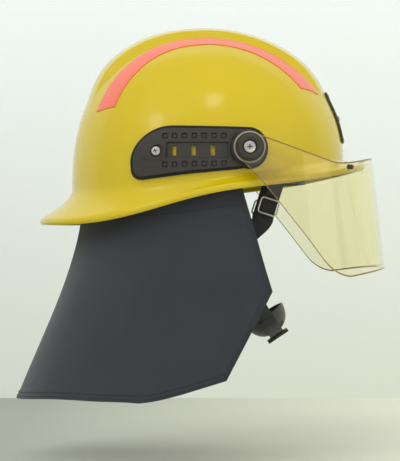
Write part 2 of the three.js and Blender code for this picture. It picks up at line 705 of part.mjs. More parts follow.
function anchorSolid() {
  const inside = WEBBING.plane - WEBBING.thick / 2 - CLEAR;
  const profile = [
    [0, inside - ANCHOR.headThick], [ANCHOR.head, inside - ANCHOR.headThick], [ANCHOR.head, inside],
    [ANCHOR.pin, inside], [ANCHOR.pin, anchorWall - ANCHOR.baseThick],
    [ANCHOR.base, anchorWall - ANCHOR.baseThick], [ANCHOR.base, anchorWall], [0, anchorWall],
  ];
  return aim(turned(profile, 18), point(anchorPoint.x, 0, anchorPoint.z), OUT);
}

// The stitched eye that holds a bar of the loop.
function eye() {
  const inner = LOOP.wire + CLEAR;
  const width = WEBBING.width;
  const ring = turned([[inner, 0], [inner + WEBBING.thick, 0], [inner + WEBBING.thick, width], [inner, width],
    [inner, 0]], 16);
  return ring.rotateZ(-90 * DEGREE).translate(-width / 2, 0, 0);
}

function tabSolid() {
  const low = LOOP.wire + CLEAR + 0.5;
  const length = (ANCHOR.z - LOOP.z) / upStrap.z - barOffset + 8;
  const flat = brick(0, 0, (low + length) / 2, WEBBING.width, WEBBING.thick, length - low);
  const placed = onStrap(join(eye(), flat), barOffset);
  return cut(placed, rod(ANCHOR.pin + CLEAR, point(anchorPoint.x, 0, anchorPoint.z), OUT, 60, 100, 16));
}

function loopSolid() {
  const outline = (inset) => {
    const [w, h, r] = [LOOP.width / 2 - inset, LOOP.height / 2 - inset, LOOP.corner];
    const corners = [[w - r, h - r, 0], [-w + r, h - r, 90], [-w + r, -h + r, 180], [w - r, -h + r, 270]];
    return corners.flatMap(([x, z, start]) => [0, 45, 90].map((step) => {
      const turn = (start + step) * DEGREE;
      return [x + r * Math.cos(turn), z + r * Math.sin(turn), turn];
    }));
  };
  const middle = outline(LOOP.wire);
  const table = middle.map(([x, z, turn]) => Array.from({ length: LOOP.sides + 1 }, (_, k) => {
    const spin = (k / LOOP.sides) * TAU;
    const out = LOOP.wire * Math.cos(spin);
    return point(x + out * Math.cos(turn), LOOP.wire * Math.sin(spin), z + out * Math.sin(turn));
  }));
  const positions = [];
  table.forEach((ring, i) => {
    const next = table[(i + 1) % table.length];
    for (let k = 0; k < LOOP.sides; k++)
      for (const p of [ring[k], next[k], next[k + 1], ring[k], next[k + 1], ring[k + 1]])
        positions.push(p.x, p.y, p.z);
  });
  return onStrap(closed(positions), 0);
}

// A flat ribbon along a curve. across gives the direction of its width at each share of the way.
function ribbon(curve, across, width, thick, steps) {
  const at = (side) => grid(steps, 1, (u, v) => {
    const along = curve.getTangent(u);
    const wide = across(u).projectOnPlane(along).normalize();
    const through = wide.clone().cross(along);
    const middle = curve.getPoint(u).addScaledVector(wide, (v - 0.5) * width);
    return middle.addScaledVector(through, (side * thick) / 2);
  });
  return between(at(1), at(-1));
}

const barLow = loopMiddle.clone().addScaledVector(upStrap, -barOffset);
const cupStrapReach = 75 * DEGREE;
const cupStrapGap = 0.5;

// The place of a point of the cup strap: turn runs from its right end to its left, extra goes outwards.
function onCupStrap(turn, extra, across = 0) {
  const [half, deep] = [CUP.half + cupStrapGap + extra, CUP.deep + cupStrapGap + extra];
  const here = point(across, half * Math.sin(turn), -deep * Math.cos(turn));
  return here.applyAxisAngle(point(0, 1, 0), CUP.tilt).add(point(CUP.x, 0, CUP.z));
}

const strapEnd = onCupStrap(-cupStrapReach, WEBBING.thick / 2);
const strapEarlier = onCupStrap(-cupStrapReach + 0.1, WEBBING.thick / 2);
const offCup = strapEnd.clone().sub(strapEarlier).normalize();
const cupEnd = strapEnd.clone().addScaledVector(offCup, CLEAR + 0.2);
const beforeCup = cupEnd.clone().addScaledVector(offCup, 9);
const jaw = new THREE.CatmullRomCurve3([
  barLow.clone().addScaledVector(upStrap, -LOOP.wire - CLEAR - 0.6),
  barLow.clone().addScaledVector(upStrap, -8),
  point(36, -77.5, -68), point(31, -68, -94), beforeCup, cupEnd,
]);

function jawStrap() {
  const across = (u) => acrossStrap.clone().lerp(point(1, 0, 0.55), u);
  const strip = ribbon(jaw, across, WEBBING.width, WEBBING.thick, 18);
  return join(strip, onStrap(eye(), -barOffset));
}

// A bowl-shaped layer of the chin cup, between two depths inside its outer face.
function cupLayer(outside, inside, reach) {
  const at = (inset) => grid(22, 5, (u, v) => {
    const turn = v * reach;
    const spin = u * TAU;
    return point(
      (CUP.long - inset) * Math.sin(turn) ** 0.75 * Math.cos(spin),
      (CUP.half - inset) * Math.sin(turn) * Math.sin(spin),
      -(CUP.deep - inset) * Math.cos(turn),
    );
  }, true);
  return between(at(outside), at(inside), true).rotateY(CUP.tilt).translate(CUP.x, 0, CUP.z);
}

function cupSolid() {
  const vent = (y) => rod(2.2, point(CUP.x, y, CUP.z), point(0.9, 0, -0.45), 0, 40, 14);
  return cut(cupLayer(0, CUP.wall, 82 * DEGREE), vent(-15), vent(15));
}

// The strap that runs under the cup from side to side.
function cupStrap() {
  const at = (extra) =>
    grid(16, 1, (u, v) => onCupStrap((2 * u - 1) * cupStrapReach, extra, (v - 0.5) * WEBBING.width));
  return between(at(WEBBING.thick), at(0));
}

function sliderSolid() {
  const frame = brick(0, 0, 0, 22, 20, 2.6);
  const slots = [-5, 5].map((y) => brick(0, y, 0, 16, 5.6, 4));
  const seat = CUP.deep + 0.5 + WEBBING.thick + 0.5 + 1.5;
  return cut(frame, ...slots).translate(0, 0, -seat).rotateY(CUP.tilt).translate(CUP.x, 0, CUP.z);
}

// ---------------------------------------------------------------- the assembly
const finish = (color, roughness, metalness = 0, opacity = 1) =>
  new THREE.MeshStandardMaterial({ color, roughness, metalness, opacity, transparent: opacity < 1 });
const YELLOW = finish(0xe2c92e, 0.2);
const PINK = finish(0xff8a6b, 0.45);
const BLACK = finish(0x35332f, 0.45);
const CLEAR_YELLOW = finish(0xe9e2a6, 0.08, 0, 0.4);
const BEIGE = finish(0xc9bfa0, 0.35);
const STEEL = finish(0xb9b9b4, 0.3, 1);
const RUBBER = finish(0x2a2a29, 0.8);
const FOAM = finish(0x47484a, 0.95);
const CLOTH = finish(0x3f4148, 0.95);
const WEB = finish(0x26262a, 0.85);

const helmet = new THREE.Group();
function add(name, geometry, material) {
  const mesh = new THREE.Mesh(geometry, material);
  mesh.name = name;
  helmet.add(mesh);
}

// The right side's piece, and its mirror image on the left.
function addPair(name, geometry, material) {
  add(`right_${name}`, geometry, material);
  add(`left_${name}`, mirrored(geometry), material);
}

const sideHoles = [pivotHole, plateHole];
const dome = join(between(shellGrid(0), shellGrid(-SHELL.wall), true), ridgeSolid(0, -0.6));
const hollow = ridgeSolid(SHELL.wall, -SHELL.wall - 0.6);
add("outer_shell", cut(dome, hollow, ...sideHoles, ...sideHoles.map(mirrored), badgeHole), YELLOW);
addPair("reflective_strip", stripSolid(), PINK);
add("badge_plate", badgeSolid(), BLACK);
add("badge_rivet", rivetSolid(), BLACK);

const pivotBush = washer(SCREW.shank + CLEAR, PIVOT.hole + 2, bossFace + CLEAR, ringLow - CLEAR, 20);
const pivotScrewLength = headFoot - nutTop + SCREW.nutThick + 1;
const pivotScrew = aim(screwSolid(SCREW, pivotScrewLength), point(PIVOT.x, -headFoot, PIVOT.z), OUT);
const pivotNut = aim(nutSolid(SCREW), point(PIVOT.x, -(nutTop - SCREW.nutThick), PIVOT.z), OUT);
addPair("plate_gasket", padSolid(), RUBBER);
addPair("side_plate", plateSolid(), BLACK);
addPair("pivot_bush", pivotBush, BLACK);
addPair("pivot_ring", washer(SCREW.shank + CLEAR, PIVOT.ring, ringLow, ringLow + PIVOT.ringThick), BEIGE);
addPair("pivot_knob", knobSolid(), BLACK);
addPair("pivot_screw", pivotScrew, STEEL);
addPair("pivot_nut", pivotNut, STEEL);

const plateHeadFoot = plateHigh - SMALL_SCREW.headThick + CLEAR;
const plateNutTop = -SHELL.wall - FACET_CLEAR;
const plateScrewLength = plateHeadFoot - plateNutTop + SMALL_SCREW.nutThick + 0.6;
const alongPlateScrew = (distance) => screwFoot.clone().addScaledVector(screwOut, distance);
const plateNutFoot = alongPlateScrew(plateNutTop - SMALL_SCREW.nutThick);
const plateScrew = screwSolid(SMALL_SCREW, plateScrewLength);
addPair("plate_screw", aim(plateScrew, alongPlateScrew(plateHeadFoot), screwOut), STEEL);
addPair("plate_nut", aim(nutSolid(SMALL_SCREW), plateNutFoot, screwOut), STEEL);

add("visor", visorSolid(), CLEAR_YELLOW);
addPair("visor_stop", stopSolid(), BLACK);

add("impact_liner", linerSolid(), FOAM);
add("headband", bandSolid(bandRadius, BAND.thick, BAND.low, BAND.high, 0, TAU, BAND.columns), BLACK);
const padRadius = (phi) => bandRadius(phi) - FACET_CLEAR - BROW_PAD.thick;
// A part of a band, equally far round to both sides of its middle angle.
const bandPart = (inner, { thick, low, high, reach }, middle, columns) =>
  bandSolid(inner, thick, low, high, middle - reach, middle + reach, columns);
add("brow_pad", bandPart(padRadius, BROW_PAD, 0, 22), FOAM);
const [strapFront, strapBack, strapSide] = [BAND.front, BAND.back, BAND.half].map((r) => r + outsideBand);
add("crown_strap_long", crownStrap(strapFront, strapBack, CROWN_STRAP.top, true), WEB);
const underStrap = CROWN_STRAP.top - CROWN_STRAP.thick - FACET_CLEAR;
add("crown_strap_cross", crownStrap(strapSide, strapSide, underStrap, false), WEB);
addPair("front_hanger", hangerSolid(-HANGER.front * DEGREE), BLACK);
addPair("rear_hanger", hangerSolid(-HANGER.rear * DEGREE), BLACK);

add("nape_cradle", bandPart(cradleRadius, NAPE, Math.PI, 14), BLACK);
add("ratchet_housing", ratchetHousing(), BLACK);
add("ratchet_knob", ratchetKnob(), BLACK);
add("ratchet_pinion", pinionSolid(), BLACK);
add("left_ratchet_rack", rackSolid(1), BLACK);
add("right_ratchet_rack", rackSolid(-1), BLACK);

add("curtain_tape", tapeSolid(), WEB);
add("neck_curtain", curtainSolid(), CLOTH);

addPair("strap_anchor", anchorSolid(), BLACK);
addPair("upper_strap", tabSolid(), WEB);
addPair("strap_loop", loopSolid(), STEEL);
addPair("jaw_strap", jawStrap(), WEB);
add("chin_cup", cupSolid(), BLACK);
add("chin_cup_pad", cupLayer(CUP.wall + CLEAR, CUP.wall + CLEAR + CUP.pad, 76 * DEGREE), FOAM);
add("cup_strap", cupStrap(), WEB);
add("strap_slider", sliderSolid(), BLACK);

export default helmet;
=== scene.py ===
# %% [markdown]
# # A firefighter's helmet
#
# This script dresses a helmet whose sizes, bodies and joints are already fixed. The fixed model
# gives every place that is used here, in metres: +X is the wearer's front, +Z is up and -Y is
# the wearer's right. Each cell makes one piece or one finish, and says how and why.

# %% Load the fixed model
import json
import math

import bmesh
import bpy
import numpy as np
from mathutils import Matrix, Vector


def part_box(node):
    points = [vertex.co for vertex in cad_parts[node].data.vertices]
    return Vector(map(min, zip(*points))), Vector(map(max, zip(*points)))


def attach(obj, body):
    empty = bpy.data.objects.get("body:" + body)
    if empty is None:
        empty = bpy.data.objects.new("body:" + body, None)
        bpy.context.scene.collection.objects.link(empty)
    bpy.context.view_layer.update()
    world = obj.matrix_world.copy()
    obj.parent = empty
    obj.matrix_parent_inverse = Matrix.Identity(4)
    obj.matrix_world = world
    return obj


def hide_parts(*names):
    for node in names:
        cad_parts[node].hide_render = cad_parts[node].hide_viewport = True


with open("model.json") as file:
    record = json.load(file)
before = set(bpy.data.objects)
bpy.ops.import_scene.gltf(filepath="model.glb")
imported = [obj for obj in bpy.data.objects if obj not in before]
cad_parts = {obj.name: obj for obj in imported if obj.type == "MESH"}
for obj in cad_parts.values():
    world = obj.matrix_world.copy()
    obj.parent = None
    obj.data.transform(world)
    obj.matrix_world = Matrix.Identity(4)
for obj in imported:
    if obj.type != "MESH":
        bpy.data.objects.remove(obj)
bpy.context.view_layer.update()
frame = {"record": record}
MM = 0.001
TAU = 2 * math.pi
SIDES = {"right": -1, "left": 1}


# %% Helpers for objects
def placed(name, data):
    obj = bpy.data.objects.new(name, data)
    bpy.context.collection.objects.link(obj)
    return obj


# The mesh that an object's curve or modifiers come to.
def mesh_of(obj):
    graph = bpy.context.evaluated_depsgraph_get()
    return bpy.data.meshes.new_from_object(obj.evaluated_get(graph), depsgraph=graph)


# Swaps an object for a new one that holds the mesh it comes to.
def as_mesh(shape, name):
    mesh = mesh_of(shape)
    bpy.data.objects.remove(shape)
    return placed(name, mesh)


# %% [markdown]
# ## Camera, light and floor
#
# The camera stands level, 1.5 m from the helmet's middle plane, with a long lens that keeps
# near and far edges close together. Large soft lamps give the gloss something broad to
# mirror. The pale backdrop is bright for the camera, for gloss and for clear plastic alone, so
# it never adds light to the helmet.

# %% Camera
FULL_LENS = 123.2
camera_data = bpy.data.cameras.new("camera")
camera_data.lens = FULL_LENS
camera_data.sensor_width = 36
camera = bpy.data.objects.new("camera", camera_data)
camera.location = (-0.0048, -1.5, -0.0575)
camera.rotation_euler = (math.radians(90), 0, 0)
bpy.context.collection.objects.link(camera)
scene = bpy.context.scene
scene.camera = camera
scene.view_settings.view_transform = "Standard"


# %% Lamps
def lamp(name, place, size, watts, mirrored=True):
    data = bpy.data.lights.new(name, "AREA")
    data.shape = "SQUARE"
    data.size = size
    data.energy = watts
    obj = placed(name, data)
    obj.location = place
    obj.rotation_euler = (-Vector(place)).to_track_quat("-Z", "Y").to_euler()
    obj.visible_glossy = mirrored


lamp("key", (-1.5, -1.9, 2.2), 2.2, 40, mirrored=False)
lamp("window", (0.15, -2.0, 2.3), 0.55, 2.2)
lamp("far_window", (-1.7, -1.8, 1.5), 0.5, 1.6)
lamp("fill", (2.1, -1.9, 0.6), 1.8, 15, mirrored=False)
lamp("back", (-0.3, 1.9, 1.9), 1.6, 20)
world = bpy.data.worlds.new("room")
world.use_nodes = True
world.node_tree.nodes["Background"].inputs[0].default_value = (0.95, 0.98, 1.0, 1)
world.node_tree.nodes["Background"].inputs[1].default_value = 0.6
scene.world = world


# %% [markdown]
# ## Shader maths as Python
#
# A material is a small program of nodes. Wrapping a socket in a class lets an expression such
# as `1 - mask * 0.3` build its Math nodes. Every other node comes from one method, which sets
# the node's own settings first and then its sockets.

# %% The socket and the paint
class Socket:
    def __init__(self, paint, output):
        self.paint = paint
        self.output = output

    def math(self, operation, *values):
        inputs = dict(enumerate(values))
        return self.paint.node("ShaderNodeMath", {"operation": operation}, inputs)

    def __add__(self, other):
        return self.math("ADD", self, other)

    def __sub__(self, other):
        return self.math("SUBTRACT", self, other)

    def __rsub__(self, other):
        return self.math("SUBTRACT", other, self)

    def __mul__(self, other):
        return self.math("MULTIPLY", self, other)

    def wave(self):
        return self.math("SINE", self) * 0.5 + 0.5

    __radd__ = __add__
    __rmul__ = __mul__


class Paint:
    def __init__(self, name, **sockets):
        self.material = bpy.data.materials.new(name)
        self.material.use_nodes = True
        self.tree = self.material.node_tree
        self.shader = self.tree.nodes["Principled BSDF"]
        for title, value in sockets.items():
            self.set(title.replace("_", " "), value)

    def put(self, socket, value):
        if isinstance(value, Socket):
            self.tree.links.new(value.output, socket)
        elif socket.type == "RGBA":
            socket.default_value = (*value, 1)
        else:
            socket.default_value = value

    def set(self, title, value):
        self.put(self.shader.inputs[title], value)

    def node(self, kind, settings=None, inputs=None, out=0):
        made = self.tree.nodes.new(kind)
        for key, value in (settings or {}).items():
            setattr(made, key, value)
        for key, value in (inputs or {}).items():
            self.put(made.inputs[key], value)
        return Socket(self, made.outputs[out])

    def place(self):
        return self.node("ShaderNodeTexCoord", out="Object")

    def uv(self):
        where = self.node("ShaderNodeTexCoord", out="UV")
        parts = self.tree.nodes.new("ShaderNodeSeparateXYZ")
        self.tree.links.new(where.output, parts.inputs[0])
        return Socket(self, parts.outputs[0]), Socket(self, parts.outputs[1])

    def noise(self, scale, detail=3.0):
        inputs = {"Vector": self.place(), "Scale": scale, "Detail": detail}
        return self.node("ShaderNodeTexNoise", None, inputs)

    def mix(self, factor, first, second):
        inputs = {0: factor, 6: first, 7: second}
        return self.node("ShaderNodeMix", {"data_type": "RGBA"}, inputs, out=2)

    def math_max(self, first, *others):
        for other in others:
            first = first.math("MAXIMUM", first, other)
        return first

    def bump(self, height, depth_mm, strength=1.0):
        inputs = {"Height": height, "Distance": depth_mm * MM, "Strength": strength}
        self.set("Normal", self.node("ShaderNodeBump", None, inputs))


# %% [markdown]
# ## The finishes
#
# The shell is moulded, glossy yellow: its colour drifts a little and its skin has the faint
# orange peel of a moulding. Black parts are a satin grain. The tape has a fine net of cells
# under a clear film. Cloth and webbing get their weave from their own UV map, so the threads
# follow the piece.

# %% Moulded yellow
def yellow_paint():
    paint = Paint("moulded_yellow", Roughness=0.19, Coat_Weight=0.25, Coat_Roughness=0.05)
    drift = paint.noise(9.0)
    paint.set("Base Color", paint.mix(drift, (0.69, 0.50, 0.003), (0.77, 0.58, 0.005)))
    paint.bump(paint.noise(420.0, 1.0), 0.012)
    return paint.material


# %% Black plastics and rubber
def grained(name, dark, light, rough, grain_mm=0.04, scale=1900.0):
    paint = Paint(name)
    drift = paint.noise(35.0)
    paint.set("Base Color", paint.mix(drift, dark, light))
    paint.set("Roughness", rough + 0.12 * (drift - 0.5))
    paint.bump(paint.noise(scale, 2.0), grain_mm)
    return paint.material


# %% Reflective tape
# The two families of slanted waves cross into a net of small cells, as under real tape.
def tape_paint():
    paint = Paint("reflective_tape", Roughness=0.32, Coat_Weight=0.6, Coat_Roughness=0.1)
    u, v = paint.uv()
    step = TAU / 2.4
    cells = (u * step + v * step).wave() * (u * step - v * step).wave()
    paint.set("Base Color", paint.mix(cells, (1.0, 0.16, 0.085), (1.0, 0.24, 0.15)))
    paint.bump(cells, 0.02)
    return paint.material


# %% Clear visor
def visor_paint():
    paint = Paint("visor_clear", Base_Color=(0.975, 0.94, 0.73), Roughness=0.02, IOR=1.45)
    paint.set("Transmission Weight", 1.0)
    paint.set("Normal", paint.node("ShaderNodeBump", None, {
        "Height": paint.noise(14.0, 1.0), "Distance": 0.02 * MM}))
    return paint.material


# %% Steel
def steel_paint():
    paint = Paint("plated_steel", Metallic=1.0)
    scuffs = paint.noise(260.0)
    paint.set("Base Color", paint.mix(scuffs, (0.62, 0.60, 0.56), (0.86, 0.84, 0.79)))
    paint.set("Roughness", 0.2 + 0.22 * scuffs)
    return paint.material


# %% Woven cloth and webbing
# The UV map counts threads: one unit is one millimetre of cloth.
def cloth_paint(name, dark, light, thread_mm, sheen):
    paint = Paint(name, Roughness=0.93, Sheen_Weight=sheen, Sheen_Roughness=0.55)
    paint.shader.inputs["Specular IOR Level"].default_value = 0.2
    u, v = paint.uv()
    step = TAU / thread_mm
    twill = (u * step + v * step * 0.5).wave()
    across = (v * step * 2.0 - u * step * 0.25).wave()
    weave = twill * 0.65 + across * 0.35
    worn = paint.noise(22.0, 5.0)
    paint.set("Base Color", paint.mix(weave * 0.6 + worn * 0.4, dark, light))
    paint.bump(weave, 0.18, 0.8)
    return paint.material


def webbing_paint():
    paint = Paint("ribbed_webbing", Roughness=0.8, Sheen_Weight=0.2)
    u, v = paint.uv()
    ribs = (u * (TAU / 1.8)).wave()
    cross = (v * (TAU / 1.1)).wave()
    color = paint.mix(ribs * 0.75 + cross * 0.25, (0.006, 0.006, 0.006), (0.060, 0.060, 0.056))
    paint.set("Base Color", color)
    paint.bump(ribs * 0.75 + cross * 0.25, 0.3)
    return paint.material


YELLOW = yellow_paint()
TAPE = tape_paint()
VISOR = visor_paint()
STEEL = steel_paint()
# The cross recess of each screw gets a dull dark colour. This is painted shade: the real recess is the same
# steel as the head.
RECESS_SHADE = grained("screw_recess_painted_shade", (0.045, 0.04, 0.035), (0.09, 0.08, 0.07), 0.5)
BLACK = grained("satin_black", (0.031, 0.028, 0.021), (0.053, 0.047, 0.036), 0.40)
DARK = grained("inner_plastic", (0.03, 0.03, 0.031), (0.05, 0.05, 0.052), 0.5)
RUBBER = grained("gasket_rubber", (0.008, 0.008, 0.008), (0.016, 0.016, 0.016), 0.62, 0.06)
RING = grained("beige_ring", (0.33, 0.285, 0.185), (0.42, 0.36, 0.24), 0.24, 0.01)
FOAM = grained("liner_foam", (0.045, 0.047, 0.052), (0.075, 0.077, 0.083), 0.9, 0.5, 620.0)
CURTAIN = cloth_paint("curtain_cloth", (0.027, 0.029, 0.037), (0.060, 0.062, 0.073), 0.9, 0.35)
PADDING = cloth_paint("padding_cloth", (0.05, 0.05, 0.054), (0.10, 0.10, 0.106), 1.2, 0.3)
THREAD = grained("sewing_thread", (0.020, 0.021, 0.027), (0.04, 0.042, 0.052), 0.8, 0.1)
WEBBING = webbing_paint()
PAD_RUBBER = grained("pad_rubber", (0.16, 0.165, 0.155), (0.22, 0.225, 0.21), 0.5)
print("finishes:", len(bpy.data.materials))


# %% [markdown]
# ## From numbers to pieces
#
# Sizes are written in millimetres, because that is how such parts are drawn, and they become
# metres in one place. A piece that stands for a fixed node takes the node's body from the
# record, so nothing is named twice. Most walls here are two grids of points, an outer and an
# inner one, sewn together along their edges.

# %% Names of bodies and slots
record = frame["record"]
BODY_OF = {node: body for body, nodes in record["behaviour"]["bodies"].items() for node in nodes}


# %% Mesh helpers
def make(name, points, faces, uv=None):
    mesh = bpy.data.meshes.new(name)
    mesh.from_pydata((np.asarray(points, dtype=float) * MM).tolist(), [], faces)
    obj = placed(name, mesh)
    if uv is not None:
        layer = mesh.uv_layers.new(name="cut")
        for loop in mesh.loops:
            layer.data[loop.index].uv = uv[loop.vertex_index]
    work = bmesh.new()
    work.from_mesh(mesh)
    bmesh.ops.remove_doubles(work, verts=work.verts, dist=0.002 * MM)
    bmesh.ops.recalc_face_normals(work, faces=work.faces)
    work.to_mesh(mesh)
    work.free()
    return obj


# outer and inner are grids of points, shaped (rows, columns, 3).
def between(name, outer, inner, around=False, uv=None):
    rows, columns = outer.shape[:2]
    spread = np.concatenate([outer.reshape(-1, 3), inner.reshape(-1, 3)])
    at = np.arange(2 * rows * columns).reshape(2, rows, columns)
    steps = columns if around else columns - 1
    faces = []
    for j in range(steps):
        k = (j + 1) % columns
        for i in range(rows - 1):
            faces.append([at[0, i, j], at[0, i + 1, j], at[0, i + 1, k], at[0, i, k]])
            faces.append([at[1, i, j], at[1, i, k], at[1, i + 1, k], at[1, i + 1, j]])
        faces.append([at[0, 0, j], at[0, 0, k], at[1, 0, k], at[1, 0, j]])
        faces.append([at[0, -1, k], at[0, -1, j], at[1, -1, j], at[1, -1, k]])
    if not around:
        for i in range(rows - 1):
            faces.append([at[0, i + 1, 0], at[0, i, 0], at[1, i, 0], at[1, i + 1, 0]])
            faces.append([at[0, i, -1], at[0, i + 1, -1], at[1, i + 1, -1], at[1, i, -1]])
    if uv is not None:
        uv = np.concatenate([uv.reshape(-1, 2)] * 2)
    return make(name, spread, [[int(corner) for corner in face] for face in faces], uv)


# A lathe: the profile is [radius, height] pairs, and height runs along the direction.
def turned(name, profile, foot, direction, sides=64):
    profile = np.asarray(profile, dtype=float)
    closed_profile = np.allclose(profile[0], profile[-1])
    if closed_profile:
        profile = profile[:-1]
    spin = np.linspace(0, TAU, sides, endpoint=False)
    count = len(profile)
    turn = Vector((0, 0, 1)).rotation_difference(Vector(direction))
    points = []
    for angle in spin:
        for radius, height in profile:
            local = turn @ Vector((radius * math.cos(angle), radius * math.sin(angle), height))
            points.append(Vector(foot) + local)
    rings = count if closed_profile else count - 1
    faces = []
    for i in range(sides):
        k = (i + 1) % sides
        for j in range(rings):
            n = (j + 1) % count
            faces.append([i * count + j, k * count + j, k * count + n, i * count + n])
    return make(name, [list(p) for p in points], faces)


# %% Modifiers, made real
def bake(obj):
    mesh = mesh_of(obj)
    old = obj.data
    obj.modifiers.clear()
    obj.data = mesh
    bpy.data.meshes.remove(old)
    return obj


def rounded(obj, width, segments=2, angle=30):
    bevel = obj.modifiers.new("round", "BEVEL")
    bevel.width = width * MM
    bevel.segments = segments
    bevel.limit_method = "ANGLE"
    bevel.angle_limit = math.radians(angle)
    bevel.use_clamp_overlap = True
    return bake(obj)


def cut_with(obj, *tools):
    for tool in tools:
        cut = obj.modifiers.new("cut", "BOOLEAN")
        cut.object = tool
        cut.solver = "EXACT"
    bake(obj)
    for tool in tools:
        bpy.data.objects.remove(tool)
    return obj


# %% Settling a piece
def settle(obj, paint, *nodes, smooth=35, slot=None, hides=True):
    obj.data.materials.clear()
    obj.data.materials.append(paint)
    obj.data.polygons.foreach_set("use_smooth", [True] * len(obj.data.polygons))
    obj.data.set_sharp_from_angle(angle=math.radians(smooth))
    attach(obj, BODY_OF[nodes[0]])
    if hides:
        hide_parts(*nodes)
    return obj


# The node's own solid, with its corners rounded off.
def rounded_copy(node, width, paint, segments=2, angle=30):
    mesh = bpy.data.objects[node].data.copy()
    obj = placed(node + "_dressed", mesh)
    work = bmesh.new()
    work.from_mesh(mesh)
    bmesh.ops.remove_doubles(work, verts=work.verts, dist=0.002 * MM)
    flat = math.radians(0.4)
    bmesh.ops.dissolve_limit(work, angle_limit=flat, verts=work.verts, edges=work.edges)
    work.to_mesh(mesh)
    work.free()
    if width:
        rounded(obj, width, segments, angle)
    return settle(obj, paint, node)


# %% [markdown]
# ## The shell
#
# The shell is a dome with a flat raised band along its middle and a brim that flares and then
# turns down. Each section through the middle axis is a superellipse, a rounder relative of
# the ellipse, whose power changes a little round the head. Writing it as a formula gives a
# surface as fine as the gloss needs, and the same formula later seats the tape, the side
# plates and the badge.

# %% The dome's rule
CROWN, FRONT, BACK, HALF = 128, 131, 126, 111
RIM_FRONT, RIM_BACK, RIM_HALF = 151.6, 156, 117
WALL, LIP = 2.6, 4.6
RIDGE, RIDGE_HALF, RIDGE_SIDE, RIDGE_LOW, RIDGE_FULL = 5.6, 34, 4.2, 58, 100


def root_height(phi):
    return -8.3 + 14.3 * np.cos(phi) + 3.2 * np.cos(2 * phi)


def rim_height(phi):
    return -27.5 + 26 * np.cos(phi) + 2.5 * np.cos(4 * phi)


def fullness(phi):
    return 2.15 + np.where(np.cos(phi) > 0, -0.1, 0.25) * np.cos(phi) ** 2


def oval(phi, front, back, half):
    length = np.where(np.cos(phi) > 0, front, back)
    return 1 / np.hypot(np.cos(phi) / length, np.sin(phi) / half)


def foot_radius(phi):
    return oval(phi, FRONT, BACK, HALF)


def smoothstep(low, high, value):
    share = np.clip((value - low) / (high - low), 0, 1)
    return share * share * (3 - 2 * share)


def dome_radius(phi, z):
    foot = root_height(phi)
    rise = np.clip((z - foot) / (CROWN - foot), 0, 1)
    return foot_radius(phi) * (1 - rise ** fullness(phi)) ** (1 / fullness(phi))


def dome_height(x, y):
    phi = np.arctan2(y, x)
    share = np.minimum(1, np.hypot(x, y) / foot_radius(phi))
    foot = root_height(phi)
    return foot + (CROWN - foot) * (1 - share ** fullness(phi)) ** (1 / fullness(phi))


def side_width(x, z):
    x, z = np.broadcast_arrays(np.asarray(x, dtype=float), np.asarray(z, dtype=float))
    low, high = np.zeros(x.shape), np.full(x.shape, math.pi)
    for _ in range(36):
        phi = (low + high) / 2
        ahead = dome_radius(phi, z) * np.cos(phi) > x
        low, high = np.where(ahead, phi, low), np.where(ahead, high, phi)
    return dome_radius(low, z) * np.sin(low)


def above_dome(x, y, distance):
    slope_x = dome_height(x + 0.5, y) - dome_height(x - 0.5, y)
    slope_y = dome_height(x, y + 0.5) - dome_height(x, y - 0.5)
    out = np.stack([-slope_x, -slope_y, np.ones_like(slope_x)], axis=-1)
    out /= np.linalg.norm(out, axis=-1, keepdims=True)
    return np.stack([x, y, dome_height(x, y)], axis=-1) + out * distance


# How far the raised band stands up at a place beside the middle plane and at a height.
def ridge_lift(y, z):
    across = 1 - smoothstep(RIDGE_HALF, RIDGE_HALF + RIDGE_SIDE, np.abs(y))
    return RIDGE * across * smoothstep(RIDGE_LOW, RIDGE_FULL, z)


def around(phi, radius, z):
    return np.stack([radius * np.cos(phi), radius * np.sin(phi), z], axis=-1)


# %% The shell's sections
def bezier(start, bend, end, count):
    t = np.linspace(0, 1, count + 1)[1:, None, None]
    return (1 - t) ** 2 * start + 2 * t * (1 - t) * bend + t ** 2 * end


# The section at every angle at once, from the crown to the brim's lower edge: (rows, angles, 2).
def shell_sections(phi, dome_rows, flare_rows, round_rows):
    foot, edge, power = root_height(phi), rim_height(phi), 2 / fullness(phi)
    turn = np.linspace(math.pi / 2, 0, dome_rows + 1)[:, None]
    radius = foot_radius(phi) * np.maximum(0, np.cos(turn)) ** power
    radius[0] = 0
    dome = np.stack([radius, foot + (CROWN - foot) * np.sin(turn) ** power], axis=-1)
    start = dome[-1]
    tip = np.stack([oval(phi, RIM_FRONT, RIM_BACK, RIM_HALF), edge + LIP], axis=-1)
    bend_radius = start[:, 0] + 0.06 * (tip - start)[:, 0]
    bend_height = tip[:, 1] + 0.55 * (start - tip)[:, 1]
    bend = np.stack([bend_radius, bend_height], axis=-1)
    flare = bezier(start, bend, tip, flare_rows)
    inward = (flare[-2] - tip) / np.linalg.norm(flare[-2] - tip, axis=-1, keepdims=True)
    low = np.stack([tip[:, 0] + 0.4, edge], axis=-1)
    corner = bezier(tip + inward * 2.4, tip, tip + (low - tip) * 0.5, round_rows)
    return np.concatenate([dome, flare[:-1], corner, low[None]])


def pushed_out(sections, distance):
    along = np.gradient(sections, axis=0)
    along[0] = [1, 0]
    along /= np.linalg.norm(along, axis=-1, keepdims=True)
    return sections + np.stack([-along[..., 1], along[..., 0]], axis=-1) * distance


# %% The shell itself
def shell():
    phi = np.linspace(0, TAU, 400, endpoint=False)
    outer = shell_sections(phi, 84, 14, 4)
    y = outer[..., 0] * np.sin(phi)
    lift = ridge_lift(y, outer[..., 1])
    inner = pushed_out(outer, lift[..., None] - WALL)
    outer = pushed_out(outer, lift[..., None])
    middle = (outer[-1] + inner[-1]) / 2 - [0, 0.9]
    outer[-1, :, 1] += 0.5
    inner[-1, :, 1] += 0.5
    walls = []
    for wall in (outer, inner):
        line = np.concatenate([wall, middle[None]])
        walls.append(around(phi, line[..., 0], line[..., 1]))
    return between("outer_shell_dressed", *walls, around=True)


